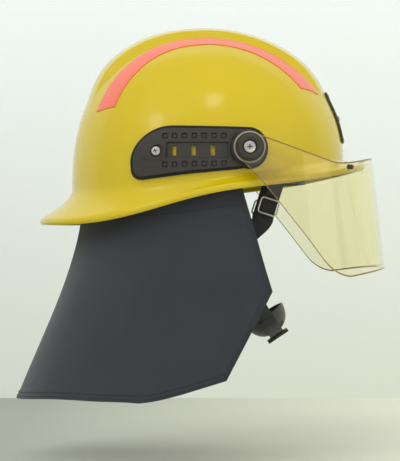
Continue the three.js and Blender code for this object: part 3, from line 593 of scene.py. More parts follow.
settle(shell(), YELLOW, "outer_shell", smooth=50)

# %% [markdown]
# ## Floor and backdrop
#
# A pale table and a pale wall stand behind the helmet. Their surfaces scatter the lamps like
# paper, and a second, glowing colour is seen by the camera, by gloss and through the visor
# only. From behind or below both are clear, so the helmet can be seen from any side. The
# wall's colour drifts from a cool white above to a warm grey at the lower right. The table's
# colour runs from dark at the left to pale at the right, and the dark left is painted shade.

# %% The stage
TABLE_Z, TABLE_BACK, STAGE_SIDE, WALL_TOP = -0.272, 0.52, 4, 3


def stage_paint(name, near, far, glow, aside, up, start):
    paint = Paint(name, Roughness=0.9)
    where = paint.tree.nodes.new("ShaderNodeSeparateXYZ")
    paint.tree.links.new(paint.place().output, where.inputs[0])
    x, z = Socket(paint, where.outputs[0]), Socket(paint, where.outputs[2])
    share = paint.node("ShaderNodeClamp", None, {"Value": x * aside - z * up + start})
    color = paint.mix(share, near, far)
    paint.set("Base Color", color)
    ways = [paint.node("ShaderNodeLightPath", out=title) for title in
            ("Is Camera Ray", "Is Glossy Ray", "Is Transmission Ray")]
    seen = paint.math_max(*ways)
    paint.set("Emission Color", color)
    paint.set("Emission Strength", seen * glow)
    behind = paint.node("ShaderNodeNewGeometry", out="Backfacing")
    clear = paint.node("ShaderNodeBsdfTransparent")
    solid = Socket(paint, paint.shader.outputs[0])
    both = paint.node("ShaderNodeMixShader", None, {0: behind, 1: solid, 2: clear})
    paint.tree.links.new(both.output, paint.tree.nodes["Material Output"].inputs["Surface"])
    return paint.material


def stage_sheet(name, corners, paint):
    mesh = bpy.data.meshes.new(name)
    mesh.from_pydata(corners, [], [[0, 1, 2, 3]])
    mesh.materials.append(paint)
    obj = placed(name, mesh)


COOL, WARM = (0.80, 0.85, 0.835), (0.60, 0.61, 0.50)
# The table's colour runs from dark at the left to pale at the right. The darker left is painted shade.
TABLE_SHADED_LEFT, TABLE_RIGHT = (0.35, 0.36, 0.31), (0.72, 0.72, 0.58)
NEAR_EDGE = [(-STAGE_SIDE, -STAGE_SIDE, TABLE_Z), (STAGE_SIDE, -STAGE_SIDE, TABLE_Z)]
MEETING = [(STAGE_SIDE, TABLE_BACK, TABLE_Z), (-STAGE_SIDE, TABLE_BACK, TABLE_Z)]
TOP_EDGE = [(STAGE_SIDE, TABLE_BACK, WALL_TOP), (-STAGE_SIDE, TABLE_BACK, WALL_TOP)]
stage_sheet("table", NEAR_EDGE + MEETING, stage_paint("table_top", TABLE_SHADED_LEFT, TABLE_RIGHT, 0.33, 2.2, 0, 0.45))
stage_sheet("wall", MEETING[::-1] + TOP_EDGE,
            stage_paint("wall_paper", COOL, WARM, 0.3, 0.1, 1.3, 0.345))

# %% [markdown]
# ## Tape and badge
#
# The reflective tape lies beside the raised band, widens a little to the back and ends in a
# slant. It is a thin closed sheet that follows the dome's rule, with a UV map in millimetres for
# its net of cells.

# %% Reflective tape
STRIP_BACK, STRIP_FRONT, STRIP_SLANT = -99, 104, 17
STRIP_INNER, STRIP_OUTER = 42.5, 55.2


def strip(side):
    v, u = np.meshgrid(np.linspace(0, 1, 15), np.linspace(0, 1, 161), indexing="ij")
    x = STRIP_BACK + v * STRIP_SLANT + (STRIP_FRONT - STRIP_BACK - 2 * v * STRIP_SLANT) * u
    inner = STRIP_INNER + np.where(x < 0, 0.0011, -0.0002) * x * x
    outer = STRIP_OUTER + np.where(x < 0, 0.0022, 0.0005) * x * x
    y = SIDES[side] * (inner + (outer - inner) * v)
    uv = np.stack([x, y], axis=-1)
    layers = [above_dome(x, y, height) for height in (0.75, 0.03)]
    obj = between(side + "_reflective_strip_dressed", *layers, uv=uv)
    return settle(obj, TAPE, side + "_reflective_strip")


for side in SIDES:
    strip(side)

# %% [markdown]
# ## Side plates
#
# Each plate is a black moulding with two rows of square pockets, a long pocket between them
# and three slots that show the shell. Small floors stand in the pockets. A flat outline with
# holes fills, thickens and bevels itself as a Blender curve. Its mesh is then sliced into small
# squares, so that it can bend with the shell's side.

# %% Outlines
PIVOT = (38.6, 0, 15.5)


def arc(centre, radius, start, end, count=24):
    turns = np.radians(np.linspace(start, end, count))
    return [(centre[0] + radius * math.cos(t), centre[1] + radius * math.sin(t)) for t in turns]


def curve_through(*handles, count=14):
    handles = [np.array(handle, dtype=float) for handle in handles]
    line = []
    for t in np.linspace(0, 1, count + 1)[1:]:
        points = handles
        while len(points) > 1:
            points = [a * (1 - t) + b * t for a, b in zip(points, points[1:])]
        line.append(tuple(points[0]))
    return line


def plate_outline(grow):
    m = grow
    line = [(-55, -9.9 - m), (-18, -5.3 - m), (28.5, -0.9 - m)]
    for t in np.radians(np.linspace(-104, 90, 30)):
        radius = 14.4 + 1.7 * math.sin(t) ** 2 + m
        line.append((PIVOT[0] + radius * math.cos(t), PIVOT[2] + radius * math.sin(t)))
    line += [(-30, 33 + m)]
    line += curve_through((-30, 33 + m), (-47, 33 + m), (-63.5 - m, 22), (-64.4 - m, 4))
    line += [(-64 - m, -3)]
    line += curve_through((-64 - m, -3), (-63 - m, -10.8 - m), (-55, -9.9 - m))[:-1]
    return line


def rectangle(x, z, width, height, corner=0.8):
    line = []
    for right, up, start in ((1, 1, 0), (-1, 1, 90), (-1, -1, 180), (1, -1, 270)):
        middle = (x + right * (width / 2 - corner), z + up * (height / 2 - corner))
        line += arc(middle, corner, start, start + 90, 5)
    return line


def disc(x, z, radius, count=40):
    return arc((x, z), radius, 0, 360 * (1 - 1 / count), count)


# The tongue is a stepped rectangle round the screw's collar.
def tongue_outline():
    half = [(-35.6, 3.7), (-49.3, 3.7), (-49.3, 5.5), (-55.9, 5.5)]
    return half + [(x, 24.4 - z) for x, z in reversed(half)]


# %% A bevelled slab, bent onto the shell's side
def slab(name, outline, holes, low, high, bevel, side, step=4.0):
    data = bpy.data.curves.new(name, "CURVE")
    data.dimensions = "2D"
    data.fill_mode = "BOTH"
    data.extrude = ((high - low) / 2 - bevel) * MM
    data.bevel_depth = bevel * MM
    data.bevel_resolution = 1
    data.offset = -bevel * MM
    for line in [outline, *holes]:
        spline = data.splines.new("POLY")
        spline.points.add(len(line) - 1)
        for point, (x, z) in zip(spline.points, line):
            point.co = (x * MM, z * MM, 0, 1)
        spline.use_cyclic_u = True
    obj = as_mesh(placed(name + "_line", data), name)
    mesh = obj.data
    work = bmesh.new()
    work.from_mesh(mesh)
    bmesh.ops.remove_doubles(work, verts=work.verts, dist=0.002 * MM)
    for axis, reach in ((0, 70), (1, 40)):
        for place in np.arange(-reach, reach, step):
            normal = (1, 0, 0) if axis == 0 else (0, 1, 0)
            bmesh.ops.bisect_plane(work, geom=work.verts[:] + work.edges[:] + work.faces[:],
                                   plane_co=Vector(normal) * place * MM, plane_no=normal)
    flat = np.array([vert.co for vert in work.verts]) / MM
    width = side_width(flat[:, 0], flat[:, 1]) + (low + high) / 2 + flat[:, 2]
    for vert, reach in zip(work.verts, width):
        vert.co = (vert.co.x, SIDES[side] * reach * MM, vert.co.y)
    bmesh.ops.recalc_face_normals(work, faces=work.faces)
    work.to_mesh(mesh)
    work.free()
    mesh.materials.clear()
    return obj


def joined(name, pieces):
    with bpy.context.temp_override(active_object=pieces[0], selected_editable_objects=pieces):
        bpy.ops.object.join()
    pieces[0].name = pieces[0].data.name = name
    return pieces[0]


# %% Plates and gaskets
GASKET_LOW, GASKET_HIGH, PLATE_LOW, PLATE_HIGH = 0.2, 1.65, 1.95, 5.35
POCKET, POCKET_PITCH, POCKET_X, POCKET_ROWS = 4.9, 8.63, -35.6, ((26.0, 0), (0.45, 0.175))
SLOTS_X, SLOT_Z, SLOT_SIZE = (-27.7, -10.55, 6.6), 13.2, (4, 9.5)
TAB_SCREW = (-42.7, 12.4)
BOSS, BOSS_FACE = 13.5, 118.1


def side_plate(side):
    places = [(POCKET_X + i * POCKET_PITCH, z + tilt * i) for i in range(7) for z, tilt in POCKET_ROWS]
    pockets = [rectangle(x, z, POCKET, POCKET) for x, z in places]
    middle = rectangle(-7.1, SLOT_Z, 54.6, 14.6, 1.2)
    slots = [rectangle(x, SLOT_Z, *SLOT_SIZE, 0.6) for x in SLOTS_X]
    seat = disc(*TAB_SCREW, 5.9)
    bolt = disc(PIVOT[0], PIVOT[2], 2.8)
    groove = arc((PIVOT[0], PIVOT[2]), 16, 128, 226, 30) + arc((PIVOT[0], PIVOT[2]), 16.7, 226, 128, 30)
    split = PLATE_HIGH - 1.7
    name = side + "_side_plate_dressed"
    top = slab(name, plate_outline(0), [*pockets, middle, seat, groove, bolt], split, PLATE_HIGH, 0.3, side)
    tongue = slab("tongue", tongue_outline(), [seat], PLATE_HIGH, PLATE_HIGH + 0.5, 0.2, side)
    floors = [slab("floor", rectangle(x, z, 2.8, 2.8, 0.4), [], split, PLATE_HIGH - 0.7, 0.15, side)
              for x, z in places]
    collar = slab("collar", disc(*TAB_SCREW, 7.6, 64), [seat], PLATE_HIGH, PLATE_HIGH + 0.7, 0.3, side)
    through_base = [*slots, disc(*TAB_SCREW, 2.2), bolt]
    base = slab("base", plate_outline(-0.15), through_base, PLATE_LOW, split, 0.12, side)
    start = float(side_width(PIVOT[0] - BOSS, PIVOT[2])) + split
    profile = [(2.8, start), (BOSS, start), (BOSS, BOSS_FACE - 0.6), (BOSS - 0.6, BOSS_FACE),
               (2.8, BOSS_FACE), (2.8, start)]
    boss = turned("boss", profile, PIVOT, (0, SIDES[side], 0), 72)
    plate = joined(name, [top, base, tongue, collar, boss, *floors])
    return settle(plate, BLACK, side + "_side_plate", smooth=32)


def gasket(side):
    holes = [disc(*TAB_SCREW, 2.2), disc(PIVOT[0], PIVOT[2], 2.8)]
    holes += [rectangle(x, SLOT_Z, *SLOT_SIZE, 0.6) for x in SLOTS_X]
    name = side + "_plate_gasket_dressed"
    obj = slab(name, plate_outline(2.6), holes, GASKET_LOW, GASKET_HIGH, 0.4, side)
    return settle(obj, RUBBER, side + "_plate_gasket", smooth=40)


for side in SIDES:
    side_plate(side)
    gasket(side)

# %% [markdown]
# ## Pivots and screws
#
# The visor hangs on a screw through each boss: a ring of clear beige plastic, then a black
# knob with a soft rim and the screw sunk in it. All of them are turned on a lathe, and the
# screw's cross is cut by two bars.

# %% Ring, knob and bush
RING_LOW, RING_HIGH, KNOB_LOW, KNOB_HIGH, HEAD_FOOT = 120.9, 123.3, 123.6, 129.0, 126.6


def pivot_parts(side):
    out = (0, SIDES[side], 0)
    ring = [(2.8, RING_LOW), (13.7, RING_LOW), (14, RING_LOW + 0.4), (14, RING_HIGH - 0.9),
            (13.75, RING_HIGH - 0.3), (13.2, RING_HIGH), (2.8, RING_HIGH), (2.8, RING_LOW)]
    knob = [(2.8, KNOB_LOW), (12.5, KNOB_LOW), (12.7, KNOB_LOW + 0.3), (12.6, KNOB_LOW + 0.9),
            (11.3, KNOB_LOW + 1.1), (10.9, KNOB_LOW + 1.6), (10.8, KNOB_HIGH - 1.9), (10.5, KNOB_HIGH - 1.0),
            (9.9, KNOB_HIGH - 0.35),
            (9.0, KNOB_HIGH), (7.4, KNOB_HIGH), (6.7, KNOB_HIGH - 0.3), (6.2, KNOB_HIGH - 0.9),
            (6.2, HEAD_FOOT - 0.3), (2.8, HEAD_FOOT - 0.3), (2.8, KNOB_LOW)]
    for node, profile, paint in (("pivot_ring", ring, RING), ("pivot_knob", knob, BLACK)):
        name = side + "_" + node
        settle(turned(name + "_dressed", profile, PIVOT, out, 96), paint, name, smooth=42)


# %% Cross-headed screws
# The profile's height starts at the head's foot.
def screw(node, foot, out, head, thick, shank, cross):
    profile = [(0, -4), (shank, -4), (shank, 0), (head - 0.15, 0), (head, 0.2), (head, thick * 0.42),
               (head * 0.93, thick * 0.68), (head * 0.78, thick * 0.88), (head * 0.55, thick), (0, thick)]
    body = turned(node + "_dressed", profile, foot, out, 72)
    turn = Vector((0, 0, 1)).rotation_difference(Vector(out))
    bars = []
    for across in ((head * 1.15, cross), (cross, head * 1.15)):
        corners = []
        for up in (thick * 0.35, thick * 1.6):
            grow = 1 if up > thick else 0.55
            for x, y in ((-1, -1), (1, -1), (1, 1), (-1, 1)):
                corner = Vector((x * across[0] / 2 * grow, y * across[1] / 2 * grow, up))
                corners.append(Vector(foot) + turn @ corner)
        faces = [[3, 2, 1, 0], [4, 5, 6, 7]] + [[i, (i + 1) % 4, (i + 1) % 4 + 4, i + 4] for i in range(4)]
        bars.append(make("bar", [list(corner) for corner in corners], faces))
    body = settle(cut_with(body, *bars), STEEL, node, smooth=30)
    # Faces inside the cross take the darker recess colour, which is painted shade in the recess.
    body.data.materials.append(RECESS_SHADE)
    for face in body.data.polygons:
        local = turn.inverted() @ (face.center / MM - Vector(foot))
        if 0.1 < local.z < thick * 0.8 and math.hypot(local.x, local.y) < head * 0.62:
            face.material_index = 1


def side_normal(x, z):
    slope_x = float(side_width(x + 0.5, z) - side_width(x - 0.5, z))
    slope_z = float(side_width(x, z + 0.5) - side_width(x, z - 0.5))
    return Vector((-slope_x, 1, -slope_z)).normalized()


for side, sign in SIDES.items():
    pivot_parts(side)
    screw(side + "_pivot_screw", (PIVOT[0], sign * HEAD_FOOT, PIVOT[2]), (0, sign, 0), 5.6, 2.4, 2.5, 1.3)
    out = side_normal(*TAB_SCREW)
    foot = Vector((TAB_SCREW[0], float(side_width(*TAB_SCREW)), TAB_SCREW[1])) + out * 3.85
    out.y, foot.y = out.y * sign, foot.y * sign
    screw(side + "_plate_screw", foot, out, 4.3, 1.8, 1.9, 1.0)
    for node in ("pivot_bush", "pivot_nut", "plate_nut"):
        rounded_copy(f"{side}_{node}", 0.25, BLACK if node == "pivot_bush" else STEEL)

# %% [markdown]
# ## The visor
#
# One flat sheet of clear plastic is cut out, pierced and bent into a U. Here the bend comes first:
# each column of points stands at one turn of the U, and it runs between the two heights where
# the cut-out crosses it. The front leans outwards, so the outline is measured along that lean. The
# cut edges and a narrow band beside them are painted amber and less clear. This is painted light,
# for the light that gathers at the edges of the real sheet.

# %% The bend and the outline
# This is the width of the amber band of painted edge light along the visor's cut edges.
EDGE_LIGHT_BAND = 1.3
VISOR_THICK, VISOR_HALF, VISOR_REACH, LEAN, ROUNDNESS, EAR, ARM = 2.2, 118.4, 115.6, 0.115, 2.35, 14.2, 16


def visor_outline():
    lower = arc((PIVOT[0], PIVOT[2]), EAR, 180, 250, 60) + [(52.7, -17.7), (88.8, -63.3), (104, -83.5)]
    lower += curve_through((104, -83.5), (114.5, -97.5), (129, -98.8)) + [(175, -91)]
    upper = arc((PIVOT[0], PIVOT[2]), EAR, 180, 52, 90) + [(90.5, 11.3), (113, 3.6)]
    upper += curve_through((113, 3.6), (125, 1), (156.4, 10.2)) + [(175, 14.3)]
    return np.array(lower), np.array(upper)


def ahead_of(line):
    return line[:, 0] - PIVOT[0] - LEAN * (PIVOT[2] - line[:, 1])


# share runs from the right ear, -1, to the left ear, 1.
def visor_plan(share, spread):
    power = 2 / ROUNDNESS
    bend = np.clip(np.abs(share) / 0.86, 0, 1) * math.pi / 2
    ahead = ARM + (VISOR_REACH - ARM + spread) * np.cos(bend) ** power
    tail = np.clip((np.abs(share) - 0.86) / 0.14, 0, 1)
    ahead = np.where(tail > 0, ARM - (ARM + EAR - 0.02) * np.sin(tail * math.pi / 2), ahead)
    aside = np.sign(share) * (VISOR_HALF + spread) * np.sin(bend) ** power
    return ahead, aside


def visor():
    share = np.linspace(-1, 1, 221)
    lower, upper = visor_outline()
    rows = np.array([0, 0, *np.linspace(0, 1, 25)[1:-1], 1, 1])[:, None]
    border = np.zeros_like(rows)
    border[1], border[-2] = -EDGE_LIGHT_BAND, EDGE_LIGHT_BAND
    walls = []
    for spread in (VISOR_THICK, 0):
        ahead, aside = visor_plan(share, spread)
        bottom = np.interp(ahead, ahead_of(lower), lower[:, 1])
        top = np.interp(ahead, ahead_of(upper), upper[:, 1])
        height = top + (bottom - top) * rows + border * np.clip((top - bottom) / 12, 0, 1)
        x = PIVOT[0] + ahead + LEAN * (PIVOT[2] - height)
        walls.append(np.stack([x, np.broadcast_to(aside, x.shape), height], axis=-1))
    obj = between("visor_dressed", *walls)
    bore = turned("bore", [(0, -150), (6.3, -150), (6.3, 150), (0, 150)], PIVOT, (0, 1, 0), 48)
    low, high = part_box("left_visor_stop")
    middle = (low + high) / 2 / MM
    tools = [bore]
    for sign in SIDES.values():
        out = Vector((0.42, sign, 0)).normalized()
        foot = (middle.x, sign * middle.y, middle.z)
        tools.append(turned("peg", [(0, -6), (1.6, -6), (1.6, 6), (0, 6)], foot, out, 24))
    cut_with(obj, *tools)
    rounded(obj, 0.35, 2, 50)
    settle(obj, VISOR, "visor", smooth=40)
    # Faces on the cut edges and in the band beside them take the amber edge colour, which is painted light.
    obj.data.materials.append(VISOR_EDGE_LIGHT)
    for face in obj.data.polygons:
        across = Vector((face.normal.x, face.normal.y, 0)).length
        place = face.center / MM
        ahead = place.x - PIVOT[0] - LEAN * (PIVOT[2] - place.z)
        low = np.interp(ahead, ahead_of(lower), lower[:, 1])
        high = np.interp(ahead, ahead_of(upper), upper[:, 1])
        inside = low + EDGE_LIGHT_BAND < place.z < high - EDGE_LIGHT_BAND
        face.material_index = 0 if inside and visor_wall(place) < 0.28 and across > 0.9 else 1
    return obj


# How far a point is from the nearer of the sheet's two walls.
def visor_wall(place):
    ahead = (place.x - PIVOT[0] - LEAN * (PIVOT[2] - place.z) - ARM)
    if ahead < 0:
        return min(abs(abs(place.y) - VISOR_HALF - spread) for spread in (0, VISOR_THICK))
    gaps = []
    for spread in (0, VISOR_THICK):
        share = (ahead / (VISOR_REACH - ARM + spread)) ** ROUNDNESS
        share += (abs(place.y) / (VISOR_HALF + spread)) ** ROUNDNESS
        gaps.append(abs(share ** (1 / ROUNDNESS) - 1) * 110)
    return min(gaps)


# The amber, partly clear colour of the visor's cut edges is painted light. It stands in for the light that
# gathers at a real sheet's edges.
def edge_light_paint():
    paint = Paint("visor_edge_painted_light", Roughness=0.12, IOR=1.45)
    paint.set("Base Color", paint.mix(paint.noise(60.0), (0.34, 0.24, 0.07), (0.46, 0.34, 0.12)))
    paint.set("Transmission Weight", 0.35)
    return paint.material


VISOR_EDGE_LIGHT = edge_light_paint()
visor()
for side in SIDES:
    rounded_copy(side + "_visor_stop", 0.2, BLACK)

# %% [markdown]
# ## Badge plate
#
# A plain black plate sits on the shell's brow, bent with it and held by one rivet. Its face has a
# raised border, and it carries no mark.

# %% Badge plate and rivet
BADGE_WIDTH, BADGE_LOW, BADGE_HIGH, BADGE_THICK = 44, 25, 71, 2.0


def on_brow(y, z, distance):
    phi = np.arcsin(y / dome_radius(0.0, z))
    slope = dome_radius(phi, z + 0.5) - dome_radius(phi, z - 0.5)
    steep = np.hypot(1, slope)
    here = dome_radius(phi, z)
    lift = distance + ridge_lift(here * np.sin(phi), z)
    return around(phi, here + lift / steep, z - lift * slope / steep)


def badge():
    v, u = np.meshgrid(np.linspace(-1, 1, 61), np.linspace(-1, 1, 61), indexing="ij")
    corner = 0.16
    squeeze = 1 - corner * np.maximum(0, np.abs(v) - (1 - corner)) ** 2 / corner ** 2
    y = u * squeeze * BADGE_WIDTH / 2
    z = (BADGE_LOW + BADGE_HIGH) / 2 + v * (BADGE_HIGH - BADGE_LOW) / 2
    edge = np.maximum(np.abs(u), np.abs(v))
    border = smoothstep(0.78, 0.82, edge) * (1 - smoothstep(0.93, 0.97, edge))
    front = on_brow(y, z, 0.3 + BADGE_THICK - 0.5 + 0.5 * border)
    obj = between("badge_plate_dressed", front, on_brow(y, z, np.full_like(y, 0.3)))
    rounded(obj, 0.3, 2, 60)
    settle(obj, BLACK, "badge_plate", smooth=30)


badge()
rounded_copy("badge_rivet", 0.3, STEEL)

# %% [markdown]
# ## The neck curtain
#
# The curtain is flame-resistant cloth, cut with straight sides that meet in corners and hemmed
# all round. It hangs from a tape inside the brim. The hanging cloth follows a rule: points run
# from the held edge down to the hem, broad low folds swell between the two, and the cloth bulges
# in at the nape. Its lower edge is a smooth line at the back and straight runs at the sides.

# %% The held edge and the cut edge
CURTAIN_THICK, TAPE_THICK, HELD_ABOVE, HELD_BELOW = 2.5, 1.5, 9, 5
CURTAIN_REACH = math.radians(107)
ON_TAPE = 0.06  # the share of the cloth that lies on the tape
NAPE_BULGE, SOFT_REACH, BAND_SEAM = 12, 0.13, 18
HEM = [(-180, 0, -217), (-176, 30, -215), (-152, 62, -211), (-111, 86, -208.5), (-57.8, 98, -213.8),
       (-20, 99, -203), (18, 100, -191), (38, 99.5, -152), (58.4, 98, -111.8)]


def hem_knots():
    steps = np.linalg.norm(np.diff(np.array(HEM, dtype=float), axis=0), axis=1) ** 0.5
    return np.concatenate([[0], np.cumsum(steps)]) / steps.sum()


# The cut edge's bends are softened round the nape, and its corners stay sharp at the sides.
def along_hem(share):
    line, knots = np.array(HEM, dtype=float), hem_knots()
    sharp = np.stack([np.interp(share, knots, line[:, k]) for k in range(3)], axis=-1)
    near = np.asarray(share)[..., None] + np.linspace(-SOFT_REACH, SOFT_REACH, 27)
    side, near = np.where(near < 0, -1, 1), 1 - np.abs(1 - np.abs(near))
    soft = [np.interp(near, knots, line[:, k]) * (side if k == 1 else 1) for k in range(3)]
    soft = np.stack([values.mean(axis=-1) for values in soft], axis=-1)
    keep = smoothstep(0.40, 0.62, np.asarray(share))[..., None] * np.array([1, 0, 1])
    return soft + (sharp - soft) * keep


def wall_inside(phi):
    return foot_radius(phi) - WALL - 0.8 - TAPE_THICK


# %% The hanging cloth
def curtain_point(share, fall, extra):
    phi = math.pi - CURTAIN_REACH * share
    radius = wall_inside(phi) - 0.5 - CURTAIN_THICK
    top = around(phi, radius, root_height(phi) + HELD_ABOVE - 1)
    held = around(phi, radius, root_height(phi) - HELD_BELOW - 4)
    foot = along_hem(share)
    down = np.clip((fall - ON_TAPE) / (1 - ON_TAPE), 0, 1)[..., None]
    drape = held + (foot - held) * down
    on_tape = top + (held - top) * fall[..., None] / ON_TAPE
    drape = np.where(fall[..., None] < ON_TAPE, on_tape, drape)
    drape[..., 0] += NAPE_BULGE * np.sin(math.pi * down[..., 0] ** 0.6) * (1 - share) ** 1.5
    out = np.stack([drape[..., 0] + 20, drape[..., 1], np.zeros_like(share)], axis=-1)
    out /= np.linalg.norm(out, axis=-1, keepdims=True)
    swell = np.sin(math.pi * np.clip(down[..., 0], 0, 1) ** 1.3)
    folds = 0.8 * np.sin(share * 11 + 0.8) + 0.4 * np.sin(share * 23 + 2.1 + 2.5 * down[..., 0])
    sag = 0.5 * np.sin(share * 9 - 5 * down[..., 0])
    return drape + out * ((folds + sag) * swell + extra)[..., None]


# %% Distances along and across the cloth
# The measured cut: u runs along the hem and v down the cloth, in millimetres.
def cloth_uv(points):
    across = np.linalg.norm(np.diff(points, axis=1), axis=-1)
    down = np.linalg.norm(np.diff(points, axis=0), axis=-1)
    u = np.concatenate([np.zeros((len(points), 1)), np.cumsum(across, axis=1)], axis=1)
    v = np.concatenate([np.zeros((1, points.shape[1])), np.cumsum(down, axis=0)], axis=0)
    return np.stack([u - u[:, -1:] / 2, v], axis=-1)


def grid_area(points):
    a = np.cross(points[1:, :-1] - points[:-1, :-1], points[:-1, 1:] - points[:-1, :-1])
    b = np.cross(points[1:, :-1] - points[1:, 1:], points[:-1, 1:] - points[1:, 1:])
    return (np.linalg.norm(a, axis=-1).sum() + np.linalg.norm(b, axis=-1).sum()) / 2


def nearest_to(points, line):
    flat = points.reshape(-1, 3)
    gaps = [np.linalg.norm(line - point, axis=1).min() for point in flat]
    return np.array(gaps).reshape(points.shape[:2])


# %% Cloth with folded hems
# Columns fall on every corner of the cut, so the corners stay sharp. side runs from -1 to 1.
def curtain_columns(count=90):
    half = np.unique(np.concatenate([np.linspace(0, 1, count), hem_knots()]).round(6))
    return np.concatenate([-half[:0:-1], half])


def curtain_sheet(side, fall, extra):
    points = curtain_point(np.abs(side), fall, extra)
    points[..., 1] *= np.where(side < 0, -1, 1)
    return points


def curtain():
    fall, side = np.meshgrid(np.linspace(0, 1, 73), curtain_columns(), indexing="ij")
    middle = curtain_sheet(side, fall, 1.0)
    border = np.concatenate([middle[-1], middle[:, 0], middle[:, -1]])
    hem = (1 - smoothstep(7.0, 8.6, nearest_to(middle, border))) * 0.4
    uv = cloth_uv(middle)
    outer = curtain_sheet(side, fall, 1.7 + hem)
    inner = curtain_sheet(side, fall, 0.6 - hem)
    obj = between("neck_curtain_dressed", outer, inner, uv=uv)
    settle(obj, CURTAIN, "neck_curtain", smooth=60)
    width = float(uv[-1, -1, 0] - uv[-1, 0, 0])
    drop = float(uv[-1, :, 1].max())
    area = grid_area(middle)
    print(f"curtain: {width:.0f} mm along the hem, {drop:.0f} mm deep, {area / 1e6:.3f} square metres")
    return obj, (width * MM, drop * MM), area * MM * MM


curtain_piece, curtain_flat, curtain_area = curtain()

# %% [markdown]
# ## Stitches
#
# Two rows of lockstitch hold each hem down. A stitch is one tiny grain of thread, and Geometry
# Nodes lay it again and again along a path: the path is cut into steps of one stitch, each
# step gets a grain that points along the path, and the grains become plain mesh at the end.


# %% A tree that sews
def sewing_tree(paint):
    tree = bpy.data.node_groups.new("sewing", "GeometryNodeTree")
    sockets = tree.interface
    sockets.new_socket("Geometry", in_out="INPUT", socket_type="NodeSocketGeometry")
    for title, value in (("Step", 3.4 * MM), ("Length", 1.25 * MM), ("Thread", 0.36 * MM)):
        socket = sockets.new_socket(title, in_out="INPUT", socket_type="NodeSocketFloat")
        socket.default_value = value
    sockets.new_socket("Geometry", in_out="OUTPUT", socket_type="NodeSocketGeometry")
    start, end = tree.nodes.new("NodeGroupInput"), tree.nodes.new("NodeGroupOutput")

    def node(kind, links=None, **settings):
        made = tree.nodes.new(kind)
        for key, value in settings.items():
            setattr(made, key, value)
        for socket, source in (links or {}).items():
            if isinstance(source, bpy.types.NodeSocket):
                tree.links.new(source, made.inputs[socket])
            else:
                made.inputs[socket].default_value = source
        return made

    steps = node("GeometryNodeResampleCurve", {"Curve": start.outputs["Geometry"],
                                               "Length": start.outputs["Step"]}, mode="LENGTH")
    grain = node("GeometryNodeMeshIcoSphere", {"Radius": 1.0, "Subdivisions": 1})
    size = node("ShaderNodeCombineXYZ", {"X": start.outputs["Length"], "Y": start.outputs["Thread"],
                                         "Z": start.outputs["Thread"]})
    tangent = node("GeometryNodeInputTangent")
    aim = node("FunctionNodeAlignRotationToVector", {"Vector": tangent.outputs[0]}, axis="X")
    laid = node("GeometryNodeInstanceOnPoints", {"Points": steps.outputs[0], "Instance": grain.outputs[0],
                                                 "Rotation": aim.outputs[0], "Scale": size.outputs[0]})
    real = node("GeometryNodeRealizeInstances", {"Geometry": laid.outputs[0]})
    finish = node("GeometryNodeSetMaterial", {"Geometry": real.outputs[0], "Material": paint})
    tree.links.new(finish.outputs[0], end.inputs[0])
    return tree


SEWING = sewing_tree(THREAD)


def modifier_input(modifier, title, value):
    for item in modifier.node_group.interface.items_tree:
        if item.name == title and item.in_out == "INPUT":
            modifier[item.identifier] = value


def path_curve(name, paths):
    data = bpy.data.curves.new(name, "CURVE")
    data.dimensions = "3D"
    for path in paths:
        spline = data.splines.new("POLY")
        spline.points.add(len(path) - 1)
        for point, place in zip(spline.points, np.asarray(path) * MM):
            point.co = (*place, 1)
    return placed(name, data)


STITCH_FACES, RIB_FACES = 20, 14


# Sews along paths and gives the stitches back as one mesh piece.
def sewn(name, paths, node, step=3.4, length=1.25, thread=0.36):
    path = path_curve(name + "_path", paths)
    sewing = path.modifiers.new("sewing", "NODES")
    sewing.node_group = SEWING
    for title, value in (("Step", step), ("Length", length), ("Thread", thread)):
        modifier_input(sewing, title, value * MM)
    obj = as_mesh(path, name)
    print(name, "has", len(obj.data.polygons) // STITCH_FACES, "stitches")
    return settle(obj, THREAD, node, hides=False)


# %% The curtain's rows of stitches
def hanging_length(side, extra):
    foot = curtain_sheet(side, np.ones_like(side), extra)
    return np.linalg.norm(foot - curtain_sheet(side, np.full_like(side, ON_TAPE), extra), axis=-1)


# How many millimetres a whole share is: along the bottom, along the front rows' tops, and
# down the front edge.
BOTTOM_SPAN, FRONT_SPAN, FRONT_DROP = 300, 330, 100


def hem_rows(inset, extra):
    side = np.linspace(-1, 1, 401)
    keep = np.abs(side) < 1 - inset / BOTTOM_SPAN
    fall = 1 - (1 - ON_TAPE) * inset * 1.05 / hanging_length(side, extra)
    bottom = curtain_sheet(side[keep], fall[keep], extra)
    fall = np.linspace(0.08, 1 - inset / FRONT_DROP, 80)
    edge = 1 - inset / FRONT_SPAN
    fronts = [curtain_sheet(np.full_like(fall, turn * edge), fall, extra) for turn in (-1, 1)]
    return [bottom, *fronts]


band_side = np.linspace(-0.985, 0.985, 401)
band_fall = ON_TAPE + (1 - ON_TAPE) * BAND_SEAM / hanging_length(band_side, 0)
EDGE_ROW, INNER_ROW, ROW_OUT, BAND_OUT = 2.4, 6.0, 2.3, 2.0
seams = [*hem_rows(EDGE_ROW, ROW_OUT), *hem_rows(INNER_ROW, ROW_OUT),
         curtain_sheet(band_side, band_fall, BAND_OUT)]
curtain_stitches = sewn("neck_curtain_stitches", seams, "neck_curtain")

# %% [markdown]
# ## Webbing
#
# Straps are flat, ribbed webbing. A ribbon needs a middle line and, at each point, the
# direction of its width. Smooth lines pass through a few chosen points, and the UV map counts
# millimetres along the strap, so the ribs always lie across it.

# %% Smooth lines and ribbons
def through(points, count):
    points = np.array(points, dtype=float)
    ends = np.concatenate([[2 * points[0] - points[1]], points, [2 * points[-1] - points[-2]]])
    line = []
    for i in range(1, len(ends) - 2):
        a, b, c, d = ends[i - 1:i + 3]
        for t in np.linspace(0, 1, count, endpoint=False):
            line.append(0.5 * (2 * b + (c - a) * t + (2 * a - 5 * b + 4 * c - d) * t ** 2
                               + (3 * b - a - 3 * c + d) * t ** 3))
    return np.array([*line, points[-1]])


def unit(vectors):
    return vectors / np.linalg.norm(vectors, axis=-1, keepdims=True)


